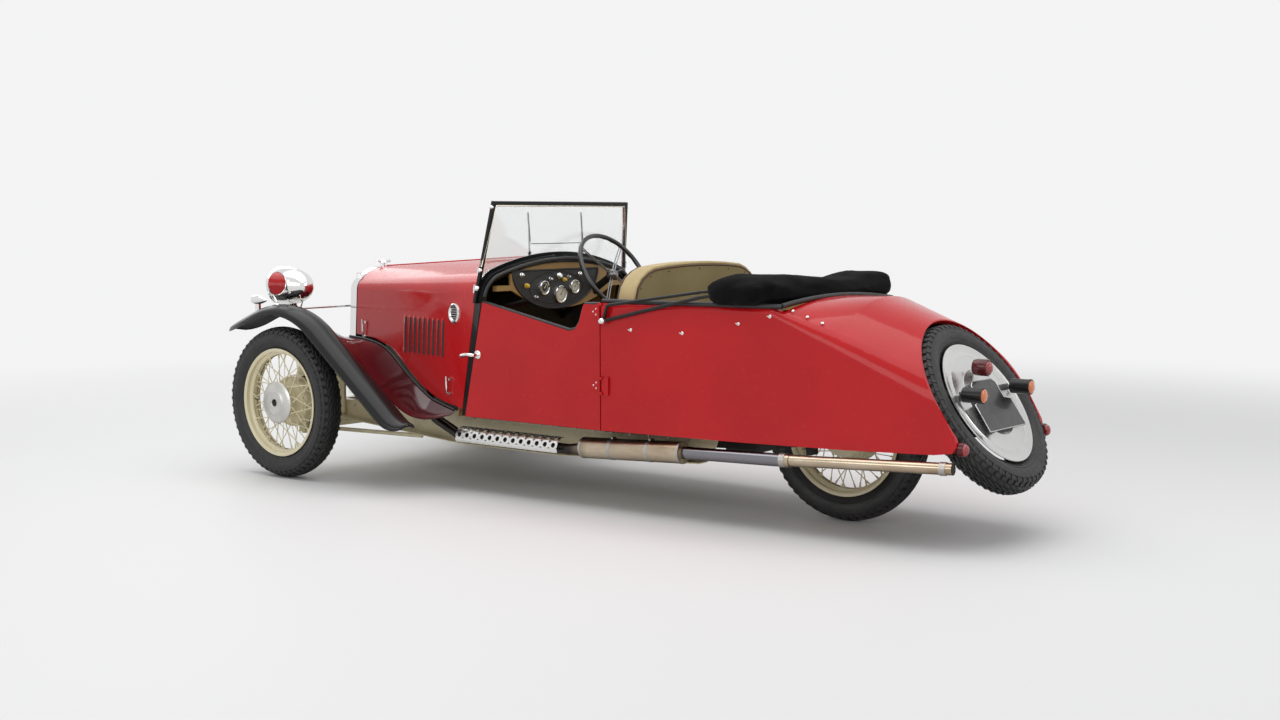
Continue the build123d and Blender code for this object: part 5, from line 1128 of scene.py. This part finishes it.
crown_from, crown_to = crown_angle(WING_TIP, 1), crown_angle(WING_HEEL, -1)
wing_line = [WING_TIP.lerp(round_hub(crown_from), i / 8) for i in range(8)]
wing_line += [round_hub(crown_from + (crown_to - crown_from) * i / 30) for i in range(31)]
wing_line += [round_hub(crown_to).lerp(WING_HEEL, i / 10) for i in range(1, 11)]
heel_run = (WING_HEEL - round_hub(crown_to)).normalized()
knee = WING_HEEL + heel_run * ((WING_END.y - WING_HEEL.y) / heel_run.y)
wing_line += [WING_HEEL.lerp(knee, i / 12).lerp(knee.lerp(WING_END, i / 12), i / 12) for i in range(1, 13)]
reach_along = [0.0]
for before, after in zip(wing_line, wing_line[1:]):
    reach_along.append(reach_along[-1] + (after - before).length)
for side, word in SIDES:
    rows, edges = [], ([], [])
    for i, point in enumerate(wing_line):
        ahead = (wing_line[min(i + 1, len(wing_line) - 1)] - wing_line[max(i - 1, 0)]).normalized()
        up = Vector((ahead.y, -ahead.x))
        tip_share = min(1.0, (reach_along[i] + 0.002) / 0.170)
        heel_share = min(1.0, (reach_along[-1] - reach_along[i] + 0.002) / 0.100)
        narrow = (1 - (1 - tip_share) ** 2) ** 0.42 * (1 - (1 - heel_share) ** 2) ** 0.40
        ring = []
        for skin, order in ((0.0, 1), (WING_SKIN, -1)):
            for turn in [radians(-86 + 172 * k / WING_STEPS) for k in range(WING_STEPS + 1)][::order]:
                spot = point - up * (WING_RISE * (1 - cos(turn)) * narrow + skin)
                ring.append(go(spot.x, side * (WING_Y + (WING_HALF - skin) * sin(turn) * narrow), spot.y))
        rows.append(ring)
        for edge, spot in zip(edges, (ring[0], ring[WING_STEPS])):
            edge.append(spot - go(up.x, 0, up.y) * 0.0015)
    Stock().loops(rows, capped=True).piece(
        f"swept_wing_{word}", black_enamel, crease=50, stand_in_for=(f"wing_{word}",))
    Stock().bar(edges[0] + edges[1][::-1] + edges[0][:1], 0.0034, 8).piece(f"wing_wired_edge_{word}", black_enamel)
# Columns: station, outer edge, its height, bonnet side, its height.
VALANCE_LINE = [(-0.030, 0.5597, 0.722, 0.226, 0.600), (0.150, 0.5597, 0.700, 0.268, 0.592),
                (0.308, 0.5597, 0.600, 0.308, 0.562), (0.502, 0.5597, 0.448, 0.356, 0.456),
                (0.678, 0.5590, 0.332, 0.404, 0.380), (0.790, 0.540, 0.308, 0.434, 0.357),
                (0.885, 0.487, 0.327, 0.462, 0.344)]


def smooth_row(table, place):
    """A row of a table at a station, along smooth curves through its rows."""
    i = max(k for k in range(len(table) - 1) if table[k][0] <= place + 1e-9)
    p0, p1, p2, p3 = (table[max(0, min(len(table) - 1, i + k))] for k in (-1, 0, 1, 2))
    span = p2[0] - p1[0]
    u = (place - p1[0]) / span
    row = []
    for a, b, c, d in zip(p0[1:], p1[1:], p2[1:], p3[1:]):
        m1 = (c - a) / (p2[0] - p0[0]) * span
        m2 = (d - b) / (p3[0] - p1[0]) * span
        row.append((2 * u**3 - 3 * u**2 + 1) * b + (u**3 - 2 * u**2 + u) * m1 + (3 * u**2 - 2 * u**3) * c
                   + (u**3 - u**2) * m2)
    return row


for side, word in SIDES:
    rows, welt = [], []
    for i in range(49):
        station = VALANCE_LINE[0][0] + (VALANCE_LINE[-1][0] - VALANCE_LINE[0][0]) * i / 48
        outer, outer_z, inner, inner_z = smooth_row(VALANCE_LINE, station)
        top = []
        for share in [k / 12 for k in range(13)]:
            hollow = 0.10 * (outer - inner) * 4 * share * (1 - share)
            height = outer_z + (inner_z - outer_z) * share - hollow
            top.append(at(station, side * (outer + (inner - outer) * share), height))
        rows.append(top + [v - UP * 0.0025 for v in reversed(top)])
        welt.append(top[-1] + go(0, side * 0.002, 0.003))
    Stock().loops(rows, capped=True).piece(f"valance_{word}", maroon_enamel, crease=50, stand_in_for=("valances",))
    Stock().bar(welt, 0.0042, 8).piece(f"valance_welt_{word}", edge_roll, crease=60)

# ---------------------------------------------------------------------------
# Lamps at the front: chrome bowls with beaded rims and ribbed glasses on a
# cross bar, torpedo side lamps on the wings, and round mirrors.
# ---------------------------------------------------------------------------
LAMP_STATION, LAMP_Y, LAMP_Z, LAMP_RADIUS = -0.172, 0.500, 0.841, 0.088
BAR_STATION, BAR_Z, BAR_HALF, BAR_RADIUS, MIRROR_Y = -0.097, 0.738, 0.5597, 0.005, 0.628
lamp_glass = Finish("ribbed_lamp_glass", Base_Color=(0.86, 0.88, 0.86), Metallic=0.25, Roughness=0.08, Coat_Weight=1.0)
lamp_glass.surface(Normal=lamp_glass.bump(lamp_glass.threads("Y", 30.0), 0.0012))
dress(chrome, "side_lamps")
dress(lamp_glass, "headlamp_glasses")
mirror_glass = Finish("mirror_glass", "chrome", Base_Color=(0.9, 0.9, 0.9), Metallic=1.0, Roughness=0.02)
Stock().bar([at(BAR_STATION, y, BAR_Z) for y in (-BAR_HALF, 0.0, BAR_HALF)], BAR_RADIUS, 16).piece(
    "lamp_cross_bar", chrome, crease=50)
for side, word in SIDES:
    centre, rim = at(LAMP_STATION, side * LAMP_Y, LAMP_Z), LAMP_RADIUS
    swell = [(rim * cos(pi / 2 * i / 24) ** 0.86, -0.006 - 0.180 * sin(pi / 2 * i / 24) ** 0.90) for i in range(25)]
    bowl = Stock().turned([(0, 0), (rim - 0.008, 0), (rim - 0.001, -0.002)] + swell, centre, AHEAD, 72)
    bowl.bar([at(BAR_STATION, side * LAMP_Y, z) for z in (BAR_Z, LAMP_Z - 0.060)], BAR_RADIUS, 16)
    bowl.piece(f"headlamp_bowl_{word}", chrome, crease=50, stand_in_for=("headlamps",))
    trim = Stock().turned([(rim - 0.009, 0.0035), (rim - 0.003, 0.0050), (rim + 0.0012, 0.0015), (rim + 0.0018, -0.004),
                           (rim + 0.0012, -0.0105), (rim - 0.001, -0.0115), (rim - 0.004, -0.004)], centre, AHEAD, 64)
    trim.bar([centre + go(-0.006, 0, -rim - reach) for reach in (0.001, 0.012)], 0.0035, 10)
    trim.piece(f"headlamp_rim_{word}", chrome, crease=40)
    stay = Stock().bar([at(BAR_STATION, side * LAMP_Y, z) for z in (0.752, 0.762)], [0.022, 0.014], 20)
    stay.bar([at(-0.060, side * 0.470, LAMP_Z - 0.050), at(0.012, side * 0.552, 0.735)], 0.0042, 10)
    stay.piece(f"headlamp_stay_{word}", chrome)
    spot, foot = at(-0.060, side * MIRROR_Y, 0.859), at(-0.054, side * MIRROR_Y, 0.7650)
    mirror = Stock().turned([(0, -0.020), (0.020, -0.0185), (0.040, -0.0115), (0.051, -0.003), (0.0535, 0.006),
                             (0.0535, 0.0095), (0.051, 0.0105), (0.0495, 0.0090), (0, 0.0090)], spot, AFT)
    mirror.bar([spot + go(0.018, 0, -0.010), spot + go(0.012, 0, -0.055), foot + UP * 0.010], 0.0046, 10)
    mirror.turned([(0, 0.010), (0.006, 0.009), (0.014, 0.0015), (0.0145, -0.002)], foot, UP, 24)
    mirror.piece(f"wing_mirror_{word}", chrome, crease=40, stand_in_for=("wing_mirrors",))
    Stock().turned([(0, 0.0101), (0.0485, 0.0099), (0.0485, 0.0086)], spot, AFT).piece(
        f"wing_mirror_glass_{word}", mirror_glass, crease=40)
    Stock().turned([(0, -0.004), (0.010, -0.003), (0.0185, 0.0), (0.0195, 0.002), (0.0195, 0.004)],
                   at(-0.215, side * 0.625, 0.782), AFT, 32).piece(f"side_lamp_lens_{word}", chrome)

# ---------------------------------------------------------------------------
# Exhaust: a heat-stained pipe from the engine, a drum silencer with clamp
# bands, a perforated heat guard, and a long tail pipe.
# ---------------------------------------------------------------------------
MUFFLER_REAR, TAIL_JOINT, PIPE_LEAN = 2.045, 2.487, (-1, -0.07, 0.035)
stained_steel = Finish("heat_stained_steel", Metallic=1.0)
stain = stained_steel.ramp(stained_steel.speckle(5.0, 5.0, stained_steel.place(scale=(1, 3, 3))), 0.35, 0.7)
along = stained_steel.part(0)
burnt = stained_steel.ramp(along, back(1.60), back(1.50))
blued = (along < back(MUFFLER_REAR)) * (along > back(TAIL_JOINT))
straw = stained_steel.mix(stain, (0.54, 0.46, 0.35), (0.33, 0.245, 0.165))
stained_steel.surface(
    Base_Color=stained_steel.mix(burnt, stained_steel.mix(blued, straw, (0.22, 0.215, 0.235)), (0.045, 0.038, 0.034)),
    Roughness=stained_steel.rough(0.13, 0.22, 60.0, 4.0) + (along > back(MUFFLER_REAR)) * 0.14,
    Normal=stained_steel.grain(160.0, 0.00005, 4.0))
dress(stained_steel, "exhaust")
drum_from, drum_to, clamps = at(1.554, 0.408, 0.240), at(2.040, 0.404, 0.262), Stock()
drum_axis = (drum_to - drum_from).normalized()


def band(radius, half, centre, axis, sides=48):
    clamps.turned([(radius - 0.002, -half), (radius, 0.001 - half), (radius, half - 0.001), (radius - 0.002, half)],
                  centre, axis, sides)


for reach, radius, half, bolted in ((0.004, 0.043, 0.005, False), (0.150, 0.0432, 0.009, True),
                                    (0.335, 0.0432, 0.009, True), (0.484, 0.043, 0.005, False)):
    spot = drum_from + drum_axis * reach
    band(radius, half, spot, drum_axis)
    if bolted:
        clamps.bar([spot + go(0, y, radius) for y in (0.012, -0.012)], 0.004, 8)
band(0.0265, 0.012, at(2.491, 0.400, 0.275), PIPE_LEAN, 40)
band(0.0235, 0.012, at(3.105, 0.3545, 0.2965), PIPE_LEAN, 40)
clamps.piece("exhaust_clamps", pedal_steel, crease=40)
# A near-black disc inside the tail pipe's mouth: painted shade in its bore.
Stock().turned([(0, 0.0006), (0.0185, 0.0006), (0.0185, -0.001)], at(3.140, 0.352, 0.298), PIPE_LEAN, 32).piece(
    "tail_pipe_bore", dark_recess)
GUARD_Y, GUARD_Z, GUARD_RADIUS, GUARD_FROM, GUARD_HOLES, GUARD_PITCH = 0.417, 0.228, 0.046, 0.888, 13, 0.0436
GUARD_WALL, GUARD_HOLE, GUARD_ARC = 0.0016, 0.0105, 0.0145
guard_steel = Finish("guard_plate", "chrome", Base_Color=(0.72, 0.72, 0.70), Metallic=1.0)
guard_steel.surface(Roughness=guard_steel.rough(0.22, 0.36, 50.0, 4.0))
rows_of_holes = []
for row, angle in enumerate((0.98, 0.36)):
    cell = Stock()
    for radius in (GUARD_RADIUS, GUARD_RADIUS - GUARD_WALL):
        outer, inner = [], []
        for turn in circle(16):
            square = max(abs(cos(turn)) / (GUARD_PITCH / 2), abs(sin(turn)) / GUARD_ARC)
            for reach, ring in ((1 / square, outer), (GUARD_HOLE, inner)):
                bend = angle + sin(turn) * reach / GUARD_RADIUS
                ring.append(go(cos(turn) * reach, radius * cos(bend), radius * sin(bend)))
        cell.loops([outer, inner])
    rows_of_holes.append(repeated(f"guard_{row}", cell, guard_steel, GUARD_HOLES, step=(-GUARD_PITCH, 0, 0),
                                  start=at(GUARD_FROM + GUARD_PITCH / 2, GUARD_Y, GUARD_Z)))
guard = Stock()
for low, high in ((-0.32, 0.04), (1.29, 1.85)):
    bends = [low + (high - low) * i / 5 for i in range(6)]
    ring = [(GUARD_RADIUS, bend) for bend in bends] + [(GUARD_RADIUS - GUARD_WALL, bend) for bend in reversed(bends)]
    guard.loops([[at(station, GUARD_Y + radius * cos(bend), GUARD_Z + radius * sin(bend)) for radius, bend in ring]
                 for station in (GUARD_FROM, GUARD_FROM + GUARD_HOLES * GUARD_PITCH)], capped=True)
for station in (GUARD_FROM + 0.06, GUARD_FROM + 0.507):
    guard.bar([at(station, GUARD_Y, GUARD_Z + rise) for rise in (0.020, GUARD_RADIUS - 0.001)], 0.005, 10)
joined(guard.piece("heat_guard", guard_steel, crease=30, stand_in_for=("heat_shield",)), rows_of_holes, 30)

# ---------------------------------------------------------------------------
# Tail: the spare's spun cover disc, a blank two-tier plate, amber lamps in
# black cylinders, a ruby tail lamp and box reflectors.
# ---------------------------------------------------------------------------
silver_lacquer = enamel("silver_lacquer", "aluminium", (0.66, 0.66, 0.65), (0.58, 0.58, 0.57), 0.24, 0.6, 0.00005)
silver_lacquer.surface(Metallic=0.8)
dress(satin_black, "spare_carrier", "lamp_housings")
Stock().turned(
    [(0, 0.0518), (0.060, 0.0512), (0.064, 0.0524), (0.068, 0.0510), (0.128, 0.0488), (0.132, 0.0502), (0.136, 0.0484),
     (0.188, 0.0446), (0.193, 0.0462), (0.198, 0.0438), (0.212, 0.0430), (0.224, 0.0452), (0.232, 0.0482),
     (0.2375, 0.0478), (0.238, 0.0455), (0.226, 0.0425), (0.0, 0.0480)], spare_centre, spare_axis, 96).piece(
    "spare_disc", silver_lacquer, crease=24, stand_in_for=("spare_cover",))
plate_up = go(sin(SPARE_TILT), 0, cos(SPARE_TILT))


def on_plate(x, y, out):
    """A place at the spare: to the right, up its slope and out from its middle plane."""
    return spare_centre - LEFT * x + plate_up * y + spare_axis * out


def stepped(*right):
    """The plate's outline, from its lower left corner, out of the points up its right edge."""
    return [(-right[0][0], right[0][1]), *right] + [(-x, y) for x, y in reversed(right[1:])]


plate_black = Finish("plate_black", "plate_black", Base_Color=(0.010, 0.010, 0.010), Coat_Weight=0.3)
plate_black.surface(Roughness=plate_black.rough(0.28, 0.42, 40.0))
plate = Stock()
for outline, low, high in (
        (stepped((0.140, -0.117), (0.140, -0.006), (0.095, 0.004), (0.095, 0.066), (0.072, 0.081)), 0.0622, 0.0655),
        (stepped((0.188, 0.028), (0.188, 0.052)), 0.0565, 0.0620)):
    plate.loops([[on_plate(x, y, out) for x, y in outline] for out in (low, high)], capped=True)
plate.bar([on_plate(0, 0, 0.0515), on_plate(0, 0, 0.062)], 0.040, 32)
plate.piece("blank_plate", plate_black, crease=40, round_edge=0.0012, stand_in_for=("number_plate",))
outline = stepped((0.138, -0.115), (0.138, -0.0075), (0.093, 0.0025), (0.093, 0.065), (0.071, 0.079))
Stock().bar([on_plate(x, y, 0.0656) for x, y in outline + outline[:1]], 0.0018, 6).piece(
    "plate_bead", silver_lacquer, crease=60)
TAIL_LAMP_Y, TAIL_LAMP_Z = 0.187, 0.533
amber_glass, ruby_glass = (Finish(word + "_glass", word, Roughness=0.10, Coat_Weight=1.0) for word in ("amber", "ruby"))
for made, clear, deep in ((amber_glass, (0.80, 0.19, 0.012), (0.55, 0.10, 0.005)),
                          (ruby_glass, (0.42, 0.006, 0.010), (0.20, 0.003, 0.006))):
    facets = made.threads("X", 60.0, "RINGS", (0, TAIL_LAMP_Y, TAIL_LAMP_Z))
    made.surface(Base_Color=made.mix(facets, clear, deep), Normal=made.bump(facets, 0.0008))
for side, word in SIDES:
    spot = at(3.165, side * TAIL_LAMP_Y, TAIL_LAMP_Z)
    Stock().turned([(0, 0.0100), (0.010, 0.0095), (0.018, 0.0075), (0.0235, 0.0035), (0.0245, 0.0), (0.0245, -0.004)],
                   spot, AFT, 40).piece(f"amber_lens_{word}", amber_glass, crease=40, stand_in_for=("amber_lenses",))
    Stock().turned([(0.0240, 0.001), (0.0262, 0.0025), (0.0282, 0.001), (0.0282, -0.006), (0.0270, -0.007)],
                   spot, AFT, 40).piece(f"lamp_ring_{word}", satin_black, crease=40)
ruby_lamps, lamp_shells, spot = Stock(), Stock(), at(3.088, 0, 0.612)
ruby_lamps.turned([(0, 0.017), (0.008, 0.0160), (0.016, 0.012), (0.022, 0.005), (0.0245, 0.0005), (0.0245, -0.003),
                   (0, -0.003)], spot, AFT, 40)
lamp_shells.turned([(0.0240, 0.002), (0.0275, 0.0030), (0.0300, 0.0), (0.0300, -0.040), (0.0270, -0.052),
                    (0.0, -0.0552)], spot, AFT)
for side, word in SIDES:
    foot = at(3.1465, side * 0.322, 0.362)
    for stock, steps in ((lamp_shells, ((0.0, 0.98), (0.016, 1.0), (0.0185, 0.96), (0.0185, 0.80))),
                         (ruby_lamps, ((0.0165, 0.86), (0.024, 0.84), (0.031, 0.66), (0.0345, 0.38), (0.0355, 0.05)))):
        stock.loops([[foot + AFT * reach + go(0, 0.0165 * wide * cos(turn), 0.0245 * wide * sin(turn))
                      for turn in circle(32)] for reach, wide in steps], capped=True)
ruby_lamps.piece("ruby_lamps", ruby_glass, crease=40, stand_in_for=("red_lamps",))
maroon_shell = enamel("maroon_lamp_shell", "ruby", (0.10, 0.006, 0.010), (0.08, 0.005, 0.008), 0.2, 0.6)
lamp_shells.piece("ruby_lamp_shells", maroon_shell, crease=40)

# ---------------------------------------------------------------------------
# The room: a pale floor that fades into a pale world, four soft lamps and
# the camera.
# ---------------------------------------------------------------------------
FADE_FROM, FADE_TO, BACKDROP = 2.3, 7.5, (0.90, 0.90, 0.905)


class Air(Finish):
    """The world about the car."""

    def __init__(self, name):
        world = bpy.context.scene.world = bpy.data.worlds.new(name)
        world.use_nodes = True
        self.tree = world.node_tree
        self.tree.nodes.clear()
        self.output = self.tree.nodes.new("ShaderNodeOutputWorld")


def in_view(finish):
    """1 for rays from the camera, off a mirror or through glass."""
    camera, glossy, through = (finish.add("ShaderNodeLightPath", out=f"Is {kind} Ray")
                               for kind in ("Camera", "Glossy", "Transmission"))
    return finish.sum("MAXIMUM", camera, finish.sum("MAXIMUM", glossy, through))


floor_paint = Finish("studio_floor", "cream", Base_Color=(0.78, 0.78, 0.78), Roughness=0.62, Specular_IOR_Level=0.25)
ground = floor_paint.add("ShaderNodeTexCoord", out="Object")
far = floor_paint.add("ShaderNodeVectorMath", {"operation": "LENGTH"}, {0: ground}, out="Value")
haze = floor_paint.add("ShaderNodeMapRange", {"interpolation_type": "SMOOTHSTEP"},
                       {"Value": far, "From Min": FADE_FROM, "From Max": FADE_TO})
glow = floor_paint.add("ShaderNodeEmission", None, {0: BACKDROP, 1: 1.0})
paint = Wire(floor_paint, floor_paint.shader.outputs[0])
floor_paint.feed(floor_paint.output.inputs[0], floor_paint.add(
    "ShaderNodeMixShader", None, {0: haze * in_view(floor_paint), 1: paint, 2: glow}))
Stock().box((-60, -60, -0.02), (60, 60, 0.0)).piece("studio_floor", floor_paint)
air = Air("studio")
plain, seen = (air.add("ShaderNodeBackground", None, {0: colour, 1: strength})
               for colour, strength in (((0.90, 0.91, 0.92), 0.42), (BACKDROP, 1.0)))
air.feed(air.output.inputs[0], air.add("ShaderNodeMixShader", None, {0: in_view(air), 1: plain, 2: seen}))
for name, place, aim, wide, tall, power in (
        ("ceiling_bank", (0.0, 0.4, 5.2), (0, 0, 0.3), 9.0, 5.0, 245.0),
        ("left_bank", (-1.0, 6.4, 3.0), (0, 0, 0.5), 6.0, 2.4, 92.0),
        ("tail_bank", (-6.5, -1.0, 3.2), (-0.6, 0, 0.5), 3.5, 2.4, 50.0),
        ("nose_bank", (6.0, -1.5, 3.0), (0.6, 0, 0.5), 3.5, 2.4, 45.0)):
    light = bpy.data.lights.new(name, "AREA")
    light.shape, light.size, light.size_y, light.energy = "RECTANGLE", wide, tall, power
    lamp = linked(name, light)
    lamp.location = place
    lamp.rotation_euler = (Vector(aim) - Vector(place)).to_track_quat("-Z", "Y").to_euler()
bpy.context.scene.view_settings.view_transform = "Standard"
lens = bpy.data.cameras.new("camera")
lens.lens, lens.sensor_width, lens.clip_end = 45.0, 36.0, 200.0
camera = linked("camera", lens)
camera.location = (FRONT_AXLE_X - 5.644, 5.175, 1.1468)
camera.rotation_euler = (radians(90 - 5.1), radians(0.17), radians(-90 - 51.4))
bpy.context.scene.camera = camera
bpy.context.view_layer.update()
